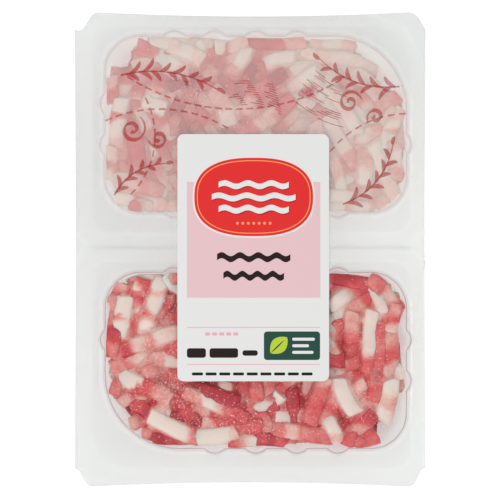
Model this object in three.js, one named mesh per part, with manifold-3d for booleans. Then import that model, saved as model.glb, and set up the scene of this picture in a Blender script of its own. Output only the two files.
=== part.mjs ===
// A retail pack of raw bacon strips: a clear twin-pocket tray, a heap of strips in each pocket,
// a flat lidding film sealed over the whole tray, and a paper label stuck on the film.
// Millimetres, +Z up. The pack lies on its two pocket floors with the label up;
// the origin is the centre of its outline, at the height of the floors.

import * as THREE from "three";
import { mergeVertices } from "three/addons/utils/BufferGeometryUtils.js";
import Module from "manifold-3d";

const wasm = await Module();
wasm.setup();
const { Manifold, Mesh: SolidMesh } = wasm;

// ---------- driving dimensions ----------
const packWidth = 155; // across, along X
const packLength = 209.4; // along Y
const trayDepth = 24.6; // pocket floors to the top of the flange
const wall = 0.6; // sheet of the tray
const filmThickness = 0.3;
const labelThickness = 0.2;
const clearance = 0.3; // between the heaps and what holds them

const pocketWidth = 133.2; // at the rim, along X
const pocketLength = 78; // at the rim, along Y
const pocketCentreX = 2.5; // the pockets sit a little to the right of the outline
const upperPocketY = 55.3;
const lowerPocketY = -49;
const cornerRadius = 15.8;
const peelCornerRadius = 33; // one corner of each pocket is cut back for the peel tab

const flutePitch = 18.1; // stiffening flutes down the pocket walls
const fluteHalfWidth = 4.6;
const fluteDepth = 2.1;

const endBow = 1.8; // how far the short edges of the flange curve in
const sideBow = 0.5;
// Each corner is punched off: from a nib a slanted cut runs to a shoulder on the end edge. The nib is so far
// in from both edges, the shoulder from the side edge, and both are rounded over the lengths beside them.
const punches = {
  topRight: { nib: [0, 7.6], nibRound: 0, shoulder: 4.5, shoulderRound: 3.6 },
  topLeft: { nib: [3.3, 8], nibRound: 1.6, shoulder: 8.2, shoulderRound: 2.8 },
  bottomLeft: { nib: [1.6, 7.7], nibRound: 1.5, shoulder: 5.8, shoulderRound: 2.4 },
  bottomRight: { nib: [1.7, 8], nibRound: 1.5, shoulder: 5.3, shoulderRound: 3.2 },
};
const scoreY = 1.3; // the line where the two pockets snap apart
const scoreDepth = 0.3;

const labelWidth = 67;
const labelLength = 109.2;
const labelRadius = 2.9;
const labelCentre = [1.4, -3.6];

const heapSeed = { upper: 11, lower: 29 };
const cell = 2; // grid of the height field that the strips are dropped on
const stations = 9; // points along a strip
const triesPerStrip = 24;
const mostSunk = 2.4; // how far the film may press a strip into those below
const middleGive = 0.35; // how far a strip sinks into what carries it, at its middle line
const sideGive = 1.5; // and at its edges
const sag = 0.25; // between one station and the next
const endDroop = 1.3;
const stripLength = [24, 42];
const stripWidth = [5.6, 7.4];
const stripHeight = [5, 6.4];
const stripBow = 4.5; // most that the middle of a strip stands off the line between its ends
const stripSway = 1.5; // the same for an S bend
const underFilm = [0.1, 1]; // how far below the film's clearance the top of a strip stays
const fillLevel = 13.5; // mean height of a heap before its top strips go on
const gapStrips = 80; // strips that then fill the gaps
const shownStrips = 72; // strips of each heap that are solids; the core stands for the rest
const coreTop = 15;

// The strips that lie on top where the pack is seen, lowest first: both ends, and the bow between them.
const topStripsUpper = [
  [-16.5, 91, -3, 88.5, 0.6],
  [-1.5, 88.5, -8.5, 78, 0.5],
  [4, 81, 19.5, 85.5, 0.8],
  [-46, 83.5, -51.5, 64.5, 0.8],
  [-37.5, 81, -43.5, 62.5, -0.8],
  [-16.5, 71, -9.5, 54.5, 1.6],
  [-56.5, 67, -59, 45, -1],
  [-47, 66, -37.5, 62, 0],
  [62, 60.5, 59.5, 41, 0.5],
  [49.5, 50.5, 51, 28, 0.6],
  [34, 23.5, 46.5, 22.5, 0.8],
  [30, 79, 8, 62.5, -1],
  [28, 76.5, 47.5, 51, 2.4],
];
const topStripsLower = [
  [-48, -12, -54.5, -32, 0],
  [-55.5, -20.5, -59.5, -46, -0.4],
  [34, -11, 44, -13.5, 0.9],
  [35.5, -25.5, 47.5, -16, 0],
  [45, -27.5, 47, -48, -0.9],
  [58.5, -32, 54.5, -67.5, 0.9],
  [-59, -68, -30, -60.5, 1.3],
  [-47, -55, -32.5, -49.5, 0],
  [-24, -61.5, -6, -68, 0.4],
  [7, -78.5, 36, -83, -0.4],
  [-21, -77, 5.5, -78.5, 0],
  [-39, -67, -37, -76.5, 0],
  [62.5, -56.5, 58.5, -75.5, 0.9],
  [-49, -75.5, -25, -87, -0.9],
  [-24.5, -83.5, -5.5, -81.5, -0.4],
  [-29, -63, -1, -75, 0.4],
  [-1, -64.5, 14, -63.5, -4],
  [39.5, -57.5, 47, -72.5, -1.3],
  [33.5, -56.5, 26, -77, 0],
  [57.5, -73.5, 46, -86, 0.4],
  [38, -78, 43, -88.5, 0],
  [53.5, -12, 62, -27, 0.9],
  [54.5, -27, 52, -54.5, -0.4],
  [62, -36.5, 61, -56.5, 1.3],
  [65.5, -23.5, 62.5, -36.5, 0],
  [-42.5, -10, -51.5, -36.5, 0],
  [-57, -45, -32, -36.5, 0.4],
];

// ---------- solids ----------
function solidOf(geometry) {
  const bare = geometry.clone();
  bare.deleteAttribute("normal");
  bare.deleteAttribute("uv");
  const merged = mergeVertices(bare, 1e-3);
  return new Manifold(
    new SolidMesh({
      numProp: 3,
      vertProperties: merged.attributes.position.array,
      triVerts: new Uint32Array(merged.index.array),
    }),
  );
}

function geometryOf(solid) {
  const made = solid.getMesh();
  const geometry = new THREE.BufferGeometry();
  geometry.setAttribute("position", new THREE.BufferAttribute(made.vertProperties, 3));
  geometry.setIndex(new THREE.BufferAttribute(made.triVerts, 1));
  geometry.computeVertexNormals();
  return geometry;
}

// The main body of a solid, without loose scraps or sealed hollows.
function mainBody(solid) {
  const bodies = solid.decompose().sort((a, b) => b.volume() - a.volume());
  if (bodies.length === 1) return bodies[0];
  return mainBody(solidOf(geometryOf(bodies[0])));
}

// A closed skin over rings of equal point count. The rings run anticlockwise seen from the last ring.
function loft(rings) {
  const count = rings[0].length;
  const positions = rings.flat().flatMap((p) => [p.x, p.y, p.z]);
  const faces = [];
  for (let r = 0; r + 1 < rings.length; r++) {
    for (let i = 0; i < count; i++) {
      const a = r * count + i;
      const b = r * count + ((i + 1) % count);
      faces.push(a, b, b + count, a, b + count, a + count);
    }
  }
  const capOf = (ring) => {
    const u = ring[1].clone().sub(ring[0]).normalize();
    const n = new THREE.Vector3();
    ring.forEach((p, i) => n.add(p.clone().cross(ring[(i + 1) % count])));
    const v = n.normalize().clone().cross(u);
    return THREE.ShapeUtils.triangulateShape(
      ring.map((p) => new THREE.Vector2(p.dot(u), p.dot(v))),
      [],
    );
  };
  const top = (rings.length - 1) * count;
  capOf(rings[0]).forEach(([a, b, c]) => faces.push(a, c, b));
  capOf(rings[rings.length - 1]).forEach(([a, b, c]) => faces.push(top + a, top + b, top + c));
  const geometry = new THREE.BufferGeometry();
  geometry.setAttribute("position", new THREE.Float32BufferAttribute(positions, 3));
  geometry.setIndex(faces);
  return geometry;
}

// ---------- the outline of the flange and film ----------
// A corner between two directions, rounded over a length.
function roundedCorner(before, corner, after, length, steps) {
  const at = new THREE.Vector2(...corner);
  const towards = (end) =>
    new THREE.Vector2(...end).sub(at).normalize().multiplyScalar(length).add(at);
  return new THREE.QuadraticBezierCurve(towards(before), at, towards(after)).getPoints(steps);
}

// One punched corner in the +X +Y quadrant, from the side edge to the end edge.
function punchedCorner({ nib, nibRound, shoulder, shoulderRound }) {
  const points = [
    ...(nibRound ? roundedCorner([0, nib[1]], nib, [shoulder, 0], nibRound, 3) : []),
    ...roundedCorner(nib, [shoulder, 0], [packWidth / 2, 0], shoulderRound, 5),
  ].map(({ x, y }) => [x, y]);
  points.unshift([0, nib[1] - (nib[0] > nibRound + 1 ? 0.4 : 0)]);
  return points.map(([across, down]) => [packWidth / 2 - across, packLength / 2 - down]);
}

function packOutline() {
  const mirrored = (points, sx, sy) => {
    const turned = points.map(([x, y]) => [x * sx, y * sy]);
    return sx * sy < 0 ? turned.reverse() : turned;
  };
  const corners = [
    mirrored(punchedCorner(punches.topRight), 1, 1),
    mirrored(punchedCorner(punches.topLeft), -1, 1),
    mirrored(punchedCorner(punches.bottomLeft), -1, -1),
    mirrored(punchedCorner(punches.bottomRight), 1, -1),
  ];
  const inward = [
    [0, -endBow],
    [sideBow, 0],
    [0, endBow],
    [-sideBow, 0],
  ];
  const edgeSteps = 6;
  const outline = [];
  corners.forEach((corner, side) => {
    outline.push(...corner);
    const from = corner[corner.length - 1];
    const to = corners[(side + 1) % 4][0];
    for (let i = 1; i < edgeSteps; i++) {
      const t = i / edgeSteps;
      const bow = 4 * t * (1 - t);
      outline.push([
        from[0] + (to[0] - from[0]) * t + inward[side][0] * bow,
        from[1] + (to[1] - from[1]) * t + inward[side][1] * bow,
      ]);
    }
  });
  return outline.map(([x, y]) => new THREE.Vector2(x, y));
}

function plate(outline, z, thickness) {
  const geometry = new THREE.ExtrudeGeometry(new THREE.Shape(outline), {
    depth: thickness,
    bevelEnabled: false,
  });
  return geometry.translate(0, 0, z);
}

// ---------- the pockets ----------
// A pocket in its own frame has its peel corner at +X +Y; the lower one is the same, turned half round.
const pockets = {
  upper: { centre: [pocketCentreX, upperPocketY], turn: 1 },
  lower: { centre: [pocketCentreX, lowerPocketY], turn: -1 },
};
const longFlutes = [-2, -1, 0, 1, 2].map((n) => n * flutePitch);
const sideFlutes = [-flutePitch / 2, flutePitch / 2];

const pocketCorners = [
  { sx: 1, sy: -1, radius: cornerRadius, steps: 6 },
  { sx: 1, sy: 1, radius: peelCornerRadius, steps: 9 },
  { sx: -1, sy: 1, radius: cornerRadius, steps: 6 },
  { sx: -1, sy: -1, radius: cornerRadius, steps: 6 },
];
// The flutes after each corner, going anticlockwise. The peel corner takes the place of two of them.
const pocketSides = [
  { normal: [1, 0], along: [0, 1], flutes: sideFlutes.slice(0, 1) },
  { normal: [0, 1], along: [-1, 0], flutes: longFlutes.slice(1) },
  { normal: [-1, 0], along: [0, -1], flutes: sideFlutes },
  { normal: [0, -1], along: [1, 0], flutes: longFlutes },
];

function pocketRing(pocket, inset, z, flute) {
  const points = [];
  pocketCorners.forEach(({ sx, sy, radius, steps }, side) => {
    const cx = sx * (pocketWidth / 2 - radius);
    const cy = sy * (pocketLength / 2 - radius);
    const startAngle = (side - 1) * (Math.PI / 2);
    for (let i = 0; i <= steps; i++) {
      const angle = startAngle + (i / steps) * (Math.PI / 2);
      points.push([
        cx + (radius - inset) * Math.cos(angle),
        cy + (radius - inset) * Math.sin(angle),
      ]);
    }
    const { normal, along, flutes } = pocketSides[side];
    const half = (normal[0] ? pocketWidth : pocketLength) / 2 - inset;
    for (const place of flutes) {
      for (const share of [-1, -0.55, 0, 0.55, 1]) {
        const out = half + flute * fluteDepth * Math.cos((share * Math.PI) / 2);
        const run = place + share * fluteHalfWidth;
        points.push([
          normal[0] * out + along[0] * run,
          normal[1] * out + along[1] * run,
        ]);
      }
    }
  });
  const { centre, turn } = pocket;
  return points.map(
    ([x, y]) => new THREE.Vector3(centre[0] + turn * x, centre[1] + turn * y, z),
  );
}

// Inside face of a pocket, from the rim down: how far in from the rim outline, how high, and
// how much of the flutes is left.
const insideProfile = [
  { inset: -1, z: trayDepth, flute: 1 },
  { inset: -0.3, z: trayDepth - 0.3, flute: 1 },
  { inset: 0, z: trayDepth - 1, flute: 1 },
  { inset: 4.2, z: 6.4, flute: 0.8 },
  { inset: 5.6, z: 2.6, flute: 0.5 },
  { inset: 9.4, z: wall, flute: 0 },
];

function pocketSolid(pocket, profile) {
  const rings = profile.map(({ inset, z, flute }) => pocketRing(pocket, inset, z, flute));
  return solidOf(loft(rings.reverse()));
}

function pocketOutside(pocket) {
  const skin = insideProfile.slice(2).map(({ inset, z, flute }, i, all) => {
    const onFloor = i === all.length - 1;
    return {
      inset: inset - wall * (onFloor ? 0.4 : 1),
      z: onFloor ? 0 : z - wall * 0.4,
      flute,
    };
  });
  const root = { inset: -wall - 0.4, z: trayDepth - wall / 2, flute: 1 };
  return pocketSolid(pocket, [root, ...skin]);
}

function pocketInside(pocket) {
  const above = { ...insideProfile[0], z: trayDepth + 1 };
  return pocketSolid(pocket, [above, ...insideProfile]);
}

function makeTray() {
  let tray = solidOf(plate(packOutline(), trayDepth - wall, wall));
  for (const pocket of Object.values(pockets)) tray = tray.add(pocketOutside(pocket));
  for (const pocket of Object.values(pockets)) tray = tray.subtract(pocketInside(pocket));
  const score = new THREE.BoxGeometry(packWidth + 2, scoreDepth * Math.SQRT2, scoreDepth * Math.SQRT2)
    .rotateX(Math.PI / 4)
    .translate(0, scoreY, trayDepth - wall);
  return tray.subtract(solidOf(score));
}

// ---------- the heaps ----------
const ceiling = trayDepth - clearance;

// Numbers between low and high, the same on every run.
function drawFrom(seed) {
  let state = seed;
  return (low, high) => {
    state = (Math.imul(state, 1664525) + 1013904223) >>> 0;
    return low + ((high - low) * state) / 4294967296;
  };
}

// How far a point lies in from the rim outline of its pocket, flutes left out.
function insetAt(pocket, x, y) {
  const px = pocket.turn * (x - pocket.centre[0]);
  const py = pocket.turn * (y - pocket.centre[1]);
  const radius = px > 0 && py > 0 ? peelCornerRadius : cornerRadius;
  const qx = Math.abs(px) - pocketWidth / 2 + radius;
  const qy = Math.abs(py) - pocketLength / 2 + radius;
  const outside = Math.hypot(Math.max(qx, 0), Math.max(qy, 0));
  return radius - outside - Math.min(Math.max(qx, qy), 0);
}

// The lowest that a strip can lie at a point, for the wall or floor under it.
function groundAt(pocket, x, y) {
  const inset = insetAt(pocket, x, y) - clearance;
  if (inset <= insideProfile[0].inset) return trayDepth;
  for (let i = 1; i < insideProfile.length; i++) {
    const [above, below] = [insideProfile[i - 1], insideProfile[i]];
    if (inset < below.inset) {
      const t = (inset - above.inset) / (below.inset - above.inset);
      return above.z + (below.z - above.z) * t + clearance;
    }
  }
  return wall + clearance;
}

// The heap so far: the height of each cell, and which strip is on top there.
function heightField(pocket) {
  const columns = Math.ceil(pocketWidth / cell) + 1;
  const rows = Math.ceil(pocketLength / cell) + 1;
  const left = pocket.centre[0] - pocketWidth / 2;
  const bottom = pocket.centre[1] - pocketLength / 2;
  const heights = [];
  const inner = [];
  for (let r = 0; r < rows; r++) {
    for (let c = 0; c < columns; c++) {
      const [x, y] = [left + c * cell, bottom + r * cell];
      if (insetAt(pocket, x, y) > 6) inner.push(heights.length);
      heights.push(groundAt(pocket, x, y));
    }
  }
  const at = (x, y) => {
    const c = Math.min(Math.max(Math.floor((x - left) / cell + 0.5), 0), columns - 1);
    const r = Math.min(Math.max(Math.floor((y - bottom) / cell + 0.5), 0), rows - 1);
    return r * columns + c;
  };
  const level = () => inner.reduce((sum, i) => sum + heights[i], 0) / inner.length;
  return { heights, owners: heights.map(() => -1), at, level };
}

// The middle line of a strip in plan, and its sideways direction.
function planOf({ ends: [x0, y0, x1, y1], bow, sway }) {
  const length = Math.hypot(x1 - x0, y1 - y0);
  const side = [(y0 - y1) / length, (x1 - x0) / length];
  const line = [];
  for (let i = 0; i < stations; i++) {
    const t = i / (stations - 1);
    const off = bow * 4 * t * (1 - t) + sway * Math.sin(2 * Math.PI * t);
    line.push([x0 + (x1 - x0) * t + side[0] * off, y0 + (y1 - y0) * t + side[1] * off]);
  }
  return { line, side };
}

// Lays a strip on what is there already: it rests on the high places and sags a little between them.
// Where the film is in the way it is pressed down, and sunk says how far into what lies below.
function landing(strip, pocket, field) {
  const { line, side } = planOf(strip);
  const edge = (strip.width / 2) * 0.9;
  const rest = line.map(([x, y]) => {
    const [dx, dy] = [side[0] * edge, side[1] * edge];
    const wallsHere = Math.max(groundAt(pocket, x + dx, y + dy), groundAt(pocket, x - dx, y - dy));
    const sides = Math.max(
      field.heights[field.at(x + dx, y + dy)],
      field.heights[field.at(x - dx, y - dy)],
    );
    const below = Math.max(field.heights[field.at(x, y)] - middleGive, sides - sideGive);
    return [wallsHere, Math.max(wallsHere, below)];
  });
  const z = rest.map(([, height]) => height);
  const last = stations - 1;
  for (let pass = 0; pass < 30; pass++) {
    for (let i = 1; i < last; i++) z[i] = Math.max(rest[i][1], (z[i - 1] + z[i + 1]) / 2 - sag);
    z[0] = Math.max(rest[0][1], z[1] - endDroop);
    z[last] = Math.max(rest[last][1], z[last - 1] - endDroop);
  }
  const pressed = z.map((height) => Math.min(height, strip.highest - strip.height));
  const sunk = Math.max(...pressed.map((height, i) => rest[i][1] - height));
  const inWall = Math.max(...pressed.map((height, i) => rest[i][0] - height));
  return { line, side, z: pressed, sunk, inWall };
}

function addToHeap(heap, strip, { line, side, z }, field) {
  const steps = 4;
  for (let i = 0; i + 1 < stations; i++) {
    for (let s = 0; s < steps; s++) {
      const t = s / steps;
      const x = line[i][0] + (line[i + 1][0] - line[i][0]) * t;
      const y = line[i][1] + (line[i + 1][1] - line[i][1]) * t;
      const top = z[i] + (z[i + 1] - z[i]) * t + strip.height;
      for (const share of [-0.5, -0.25, 0, 0.25, 0.5]) {
        const out = strip.width * share;
        const here = field.at(x + side[0] * out, y + side[1] * out);
        if (top > field.heights[here]) {
          field.heights[here] = top;
          field.owners[here] = heap.length;
        }
      }
    }
  }
  heap.push({ ...strip, line, z });
}

const sectionOf = (draw) => ({
  width: draw(...stripWidth),
  height: draw(...stripHeight),
  highest: ceiling - draw(...underFilm),
});

function randomStrip(draw, pocket) {
  const length = draw(...stripLength);
  const turn = draw(0, Math.PI);
  const x = pocket.centre[0] + draw(-0.5, 0.5) * pocketWidth;
  const y = pocket.centre[1] + draw(-0.5, 0.5) * pocketLength;
  const [dx, dy] = [(Math.cos(turn) * length) / 2, (Math.sin(turn) * length) / 2];
  const ends = [x - dx, y - dy, x + dx, y + dy];
  return { ends, bow: draw(-stripBow, stripBow), sway: draw(-stripSway, stripSway), ...sectionOf(draw) };
}

// Of many tries, lays the strip that comes to rest lowest, so that the heap fills evenly.
function dropStrip(heap, draw, pocket, field) {
  let best = null;
  for (let i = 0; i < triesPerStrip; i++) {
    const strip = randomStrip(draw, pocket);
    const found = landing(strip, pocket, field);
    if (found.inWall > 0 || found.sunk > mostSunk) continue;
    const height = found.z.reduce((sum, z) => sum + z, 0);
    if (!best || height < best.height) best = { strip, found, height };
  }
  if (best) addToHeap(heap, best.strip, best.found, field);
  return best !== null;
}

// A strip with a place of its own, drawn in towards the middle of the pocket until the walls clear it.
function layTopStrip(heap, draw, pocket, field, [x0, y0, x1, y1, bow]) {
  const [cx, cy] = pocket.centre;
  const section = sectionOf(draw);
  for (let share = 1; share > 0.7; share -= 0.01) {
    const ends = [x0 - cx, y0 - cy, x1 - cx, y1 - cy].map((v) => v * share);
    const strip = { ends: [ends[0] + cx, ends[1] + cy, ends[2] + cx, ends[3] + cy], bow, sway: 0, ...section };
    const found = landing(strip, pocket, field);
    if (found.inWall > 0) continue;
    addToHeap(heap, strip, found, field);
    return;
  }
}

function layHeap(pocket, seed, topStrips) {
  const draw = drawFrom(seed);
  const field = heightField(pocket);
  const heap = [];
  while (field.level() < fillLevel) dropStrip(heap, draw, pocket, field);
  for (const place of topStrips) layTopStrip(heap, draw, pocket, field, place);
  for (let i = 0; i < gapStrips; i++) dropStrip(heap, draw, pocket, field);
  const cellsOf = heap.map(() => 0);
  for (const owner of field.owners) if (owner >= 0) cellsOf[owner] += 1;
  const order = heap.map((_, i) => i).sort((a, b) => cellsOf[b] - cellsOf[a]);
  return order.slice(0, shownStrips).map((i) => heap[i]);
}

// One strip as a squared bar.
function stripSolid({ line, z, width, height }) {
  const skip = 2; // every second station is enough for the solid
  const rings = [];
  for (let i = 0; i < stations; i += skip) {
    const before = line[Math.max(i - 1, 0)];
    const after = line[Math.min(i + 1, stations - 1)];
    const ahead = new THREE.Vector2(after[0] - before[0], after[1] - before[1]).normalize();
    const corners = [
      [-0.5, 0],
      [0.5, 0],
      [0.5, 1],
      [-0.5, 1],
    ];
    rings.push(
      corners.map(
        ([across, up]) =>
          new THREE.Vector3(
            line[i][0] - ahead.y * across * width,
            line[i][1] + ahead.x * across * width,
            z[i] + up * height,
          ),
      ),
    );
  }
  return solidOf(loft(rings));
}

function pocketRoom(pocket) {
  const profile = insideProfile.slice(2).map(({ inset, z, flute }) => ({
    inset: inset + clearance,
    z: z + clearance,
    flute,
  }));
  profile[0].z = ceiling;
  return pocketSolid(pocket, profile);
}

function makeHeap(pocket, seed, topStrips) {
  const coreProfile = [
    { inset: 6.5, z: coreTop, flute: 0 },
    { inset: 4.5, z: coreTop - 2.5, flute: 0 },
    { inset: 7, z: 5, flute: 0 },
    { inset: 11, z: wall + clearance, flute: 0 },
  ];
  const strips = layHeap(pocket, seed, topStrips);
  const pieces = [pocketSolid(pocket, coreProfile), ...strips.map(stripSolid)];
  const heap = Manifold.union(pieces).intersect(pocketRoom(pocket));
  return mainBody(solidOf(geometryOf(mainBody(heap))));
}

// ---------- the label ----------
function labelOutline() {
  const [cx, cy] = labelCentre;
  const points = [];
  const steps = 5;
  for (let corner = 0; corner < 4; corner++) {
    const sx = corner === 0 || corner === 3 ? 1 : -1;
    const sy = corner < 2 ? 1 : -1;
    for (let i = 0; i <= steps; i++) {
      const angle = (corner + i / steps) * (Math.PI / 2);
      points.push(
        new THREE.Vector2(
          cx + sx * (labelWidth / 2 - labelRadius) + labelRadius * Math.cos(angle),
          cy + sy * (labelLength / 2 - labelRadius) + labelRadius * Math.sin(angle),
        ),
      );
    }
  }
  return points;
}

// ---------- the pack ----------
const clearPlastic = { color: 0xe6e6e4, roughness: 0.12, metalness: 0, transparent: true, opacity: 0.3 };
const looks = {
  tray: clearPlastic,
  film: { ...clearPlastic, opacity: 0.15 },
  label: { color: 0xf1f1ef, roughness: 0.45, metalness: 0 },
  strips: { color: 0xc9787a, roughness: 0.4, metalness: 0 },
};

const pack = new THREE.Group();

function addPart(name, geometry, look) {
  const mesh = new THREE.Mesh(geometry, new THREE.MeshStandardMaterial(look));
  mesh.name = name;
  pack.add(mesh);
}

addPart("tray", geometryOf(makeTray()), looks.tray);
addPart(
  "strips_upper",
  geometryOf(makeHeap(pockets.upper, heapSeed.upper, topStripsUpper)),
  looks.strips,
);
addPart(
  "strips_lower",
  geometryOf(makeHeap(pockets.lower, heapSeed.lower, topStripsLower)),
  looks.strips,
);
addPart("film", plate(packOutline(), trayDepth, filmThickness), looks.film);
addPart("label", plate(labelOutline(), trayDepth + filmThickness, labelThickness), looks.label);

export default pack;
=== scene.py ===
import math
import random
import bpy
import bmesh
import numpy as np
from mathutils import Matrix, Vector
from mathutils.geometry import delaunay_2d_cdt


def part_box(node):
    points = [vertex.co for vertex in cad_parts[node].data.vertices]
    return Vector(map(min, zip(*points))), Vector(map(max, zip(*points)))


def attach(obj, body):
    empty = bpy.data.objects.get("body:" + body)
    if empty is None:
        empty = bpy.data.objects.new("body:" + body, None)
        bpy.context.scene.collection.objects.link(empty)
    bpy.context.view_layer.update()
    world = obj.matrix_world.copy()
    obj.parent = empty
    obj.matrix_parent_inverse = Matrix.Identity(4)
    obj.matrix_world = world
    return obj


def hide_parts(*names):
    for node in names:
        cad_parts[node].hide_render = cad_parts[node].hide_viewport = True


# A retail pack of raw bacon strips: clear tray with two pockets, a heap of strips in each,
# a sealed film over both and a paper label. Sizes are in millimetres, meshes in metres.

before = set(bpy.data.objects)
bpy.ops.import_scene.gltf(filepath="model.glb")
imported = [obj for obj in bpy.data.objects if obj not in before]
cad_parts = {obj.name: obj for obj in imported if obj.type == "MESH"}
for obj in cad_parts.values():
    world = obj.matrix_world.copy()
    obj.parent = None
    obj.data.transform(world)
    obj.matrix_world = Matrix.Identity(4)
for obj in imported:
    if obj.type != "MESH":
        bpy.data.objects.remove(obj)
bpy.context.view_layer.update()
mm = 0.001


def boxOf(node):
    low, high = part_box(node)
    return np.array(low) / mm, np.array(high) / mm


trayLow, trayHigh = boxOf("tray")
filmLow, filmHigh = boxOf("film")
labelLow, labelHigh = boxOf("label")
packWidth, packLength = (trayHigh - trayLow)[:2]
trayDepth = trayHigh[2]
print("frame loaded")


# small helpers for meshes, materials and node trees
def makeMesh(name, points, faces, materials=(), faceMaterials=None, smooth=True):
    mesh = bpy.data.meshes.new(name)
    mesh.from_pydata((np.asarray(points, float) * mm).tolist(), [], [list(map(int, f)) for f in faces])
    for material in materials:
        mesh.materials.append(material)
    if faceMaterials is not None:
        mesh.polygons.foreach_set("material_index", np.asarray(faceMaterials, np.int32))
    mesh.polygons.foreach_set("use_smooth", np.full(len(mesh.polygons), smooth))
    mesh.update()
    return mesh


def makePiece(name, mesh):
    piece = bpy.data.objects.new(name, mesh)
    bpy.context.scene.collection.objects.link(piece)
    return piece


def plainMesh(piece):  # what the modifiers give, as a mesh of its own
    bpy.context.view_layer.update()
    evaluated = piece.evaluated_get(bpy.context.evaluated_depsgraph_get())
    mesh = bpy.data.meshes.new_from_object(evaluated)
    piece.modifiers.clear()
    piece.data = mesh
    return mesh


def pointsOf(mesh):  # vertex places in millimetres
    flat = np.zeros(len(mesh.vertices) * 3)
    mesh.vertices.foreach_get("co", flat)
    return flat.reshape(-1, 3) / mm


def valuesOf(mesh, name, width=1):  # a point attribute as an array
    data = mesh.attributes[name].data
    flat = np.zeros(len(data) * width, np.float32)
    data.foreach_get("vector" if width == 3 else "value", flat)
    return flat.reshape(-1, width) if width > 1 else flat


def addValue(mesh, name, values):
    mesh.attributes.new(name, "FLOAT", "POINT").data.foreach_set("value", np.asarray(values, np.float32))


def dropValues(mesh, *names):
    for name in names:
        mesh.attributes.remove(mesh.attributes[name])


def addTint(mesh, name, colours):
    flat = np.ones((len(mesh.vertices), 4), np.float32)
    flat[:, :3] = colours
    mesh.color_attributes.new(name, "FLOAT_COLOR", "POINT").data.foreach_set("color", flat.ravel())


def placePoints(mesh, at):  # at in millimetres
    mesh.vertices.foreach_set("co", (at * mm).ravel())
    mesh.update()


def closed(loop):
    return np.concatenate([loop, loop[:1]])


def smoothStep(values):
    t = values.clip(0, 1)
    return t * t * (3 - 2 * t)


def bumpy(x, y, *swings):  # a soft, uneven wave
    a, b, c, d, e, f = swings
    return np.sin(x * a + b * np.sin(y * c)) * np.cos(y * d + e * np.sin(x * f))


def slab(top, bottom, faces):
    # a closed sheet from its upper faces and the points above and below
    count = len(top)
    edges = {pair for a, *rest in faces for pair in zip((a, *rest), (*rest, a))}
    rim = [(a, b) for a, b in edges if (b, a) not in edges]
    walls = [(b, a, a + count, b + count) for a, b in sorted(rim)]
    under = [tuple(i + count for i in face[::-1]) for face in faces]
    return np.concatenate([top, bottom]), [tuple(face) for face in faces] + under + walls


def wallFaces(first, count, outwards=False):
    # faces between the ring that starts at first and the one below it
    faces = [(first + i, first + (i + 1) % count, first + count + (i + 1) % count, first + count + i)
             for i in range(count)]
    return [(a, d, c, b) for a, b, c, d in faces] if outwards else faces


def mendMesh(mesh, distance, facingUp=False):
    # joins points that meet and turns the faces outwards
    work = bmesh.new()
    work.from_mesh(mesh)
    bmesh.ops.remove_doubles(work, verts=work.verts, dist=distance)
    bmesh.ops.recalc_face_normals(work, faces=work.faces)
    if facingUp and sum(f.normal.z * f.calc_area() for f in work.faces) < 0:
        bmesh.ops.reverse_faces(work, faces=work.faces)
    work.to_mesh(mesh)
    work.free()


def principled(name, **sockets):
    material = bpy.data.materials.new(name)
    material.use_nodes = True
    shader = material.node_tree.nodes["Principled BSDF"]
    for socket, value in sockets.items():
        shader.inputs[socket.replace("_", " ")].default_value = value
    return material, material.node_tree, shader


def addNode(tree, kind, links=None, **settings):
    # links gives sockets by number or name, with either an output to join or a plain value
    node = tree.nodes.new(kind)
    for key, value in settings.items():
        setattr(node, key, value)
    for socket, value in (links or {}).items():
        if isinstance(value, bpy.types.NodeSocket):
            tree.links.new(value, node.inputs[socket])
        else:
            node.inputs[socket].default_value = value
    return node


def maths(tree, operation, *values):
    return addNode(tree, "ShaderNodeMath", dict(enumerate(values)), operation=operation).outputs[0]


def vectorMaths(tree, operation, *values):
    return addNode(tree, "ShaderNodeVectorMath", dict(enumerate(values)), operation=operation).outputs[0]


def named(tree, name, kind="FLOAT"):  # an attribute that the mesh carries
    return addNode(tree, "GeometryNodeInputNamedAttribute", {"Name": name}, data_type=kind).outputs[0]


def combined(tree, x, y, z):
    return addNode(tree, "ShaderNodeCombineXYZ", {"X": x, "Y": y, "Z": z}).outputs[0]


def evenCurve(tree, lines, step, rounded=False):
    # the lines as curves in even steps, with upright normals
    curve = addNode(tree, "GeometryNodeMeshToCurve", {"Mesh": lines}).outputs[0]
    if rounded:
        curve = addNode(tree, "GeometryNodeCurveSplineType", {"Curve": curve},
                        spline_type="CATMULL_ROM").outputs[0]
    curve = addNode(tree, "GeometryNodeResampleCurve", {"Curve": curve, "Length": step},
                    mode="LENGTH").outputs[0]
    return addNode(tree, "GeometryNodeSetCurveNormal", {"Curve": curve}, mode="Z_UP").outputs[0]


def finishTree(tree, result, geometry, material):
    real = addNode(tree, "GeometryNodeRealizeInstances", {"Geometry": geometry})
    finished = addNode(tree, "GeometryNodeSetMaterial", {"Geometry": real.outputs[0], "Material": material})
    tree.links.new(finished.outputs[0], result.inputs[0])
    return tree


def newTree(name, sizes):
    # a Geometry Nodes tree with one geometry input, the named sizes and one geometry output
    tree = bpy.data.node_groups.new(name, "GeometryNodeTree")
    tree.interface.new_socket("Geometry", in_out="INPUT", socket_type="NodeSocketGeometry")
    kinds = {float: "NodeSocketFloat", int: "NodeSocketInt"}
    for size, value in sizes.items():
        socket = tree.interface.new_socket(size, in_out="INPUT", socket_type=kinds[type(value)])
        socket.default_value = value
    tree.interface.new_socket("Geometry", in_out="OUTPUT", socket_type="NodeSocketGeometry")
    return tree, tree.nodes.new("NodeGroupInput"), tree.nodes.new("NodeGroupOutput")


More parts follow.
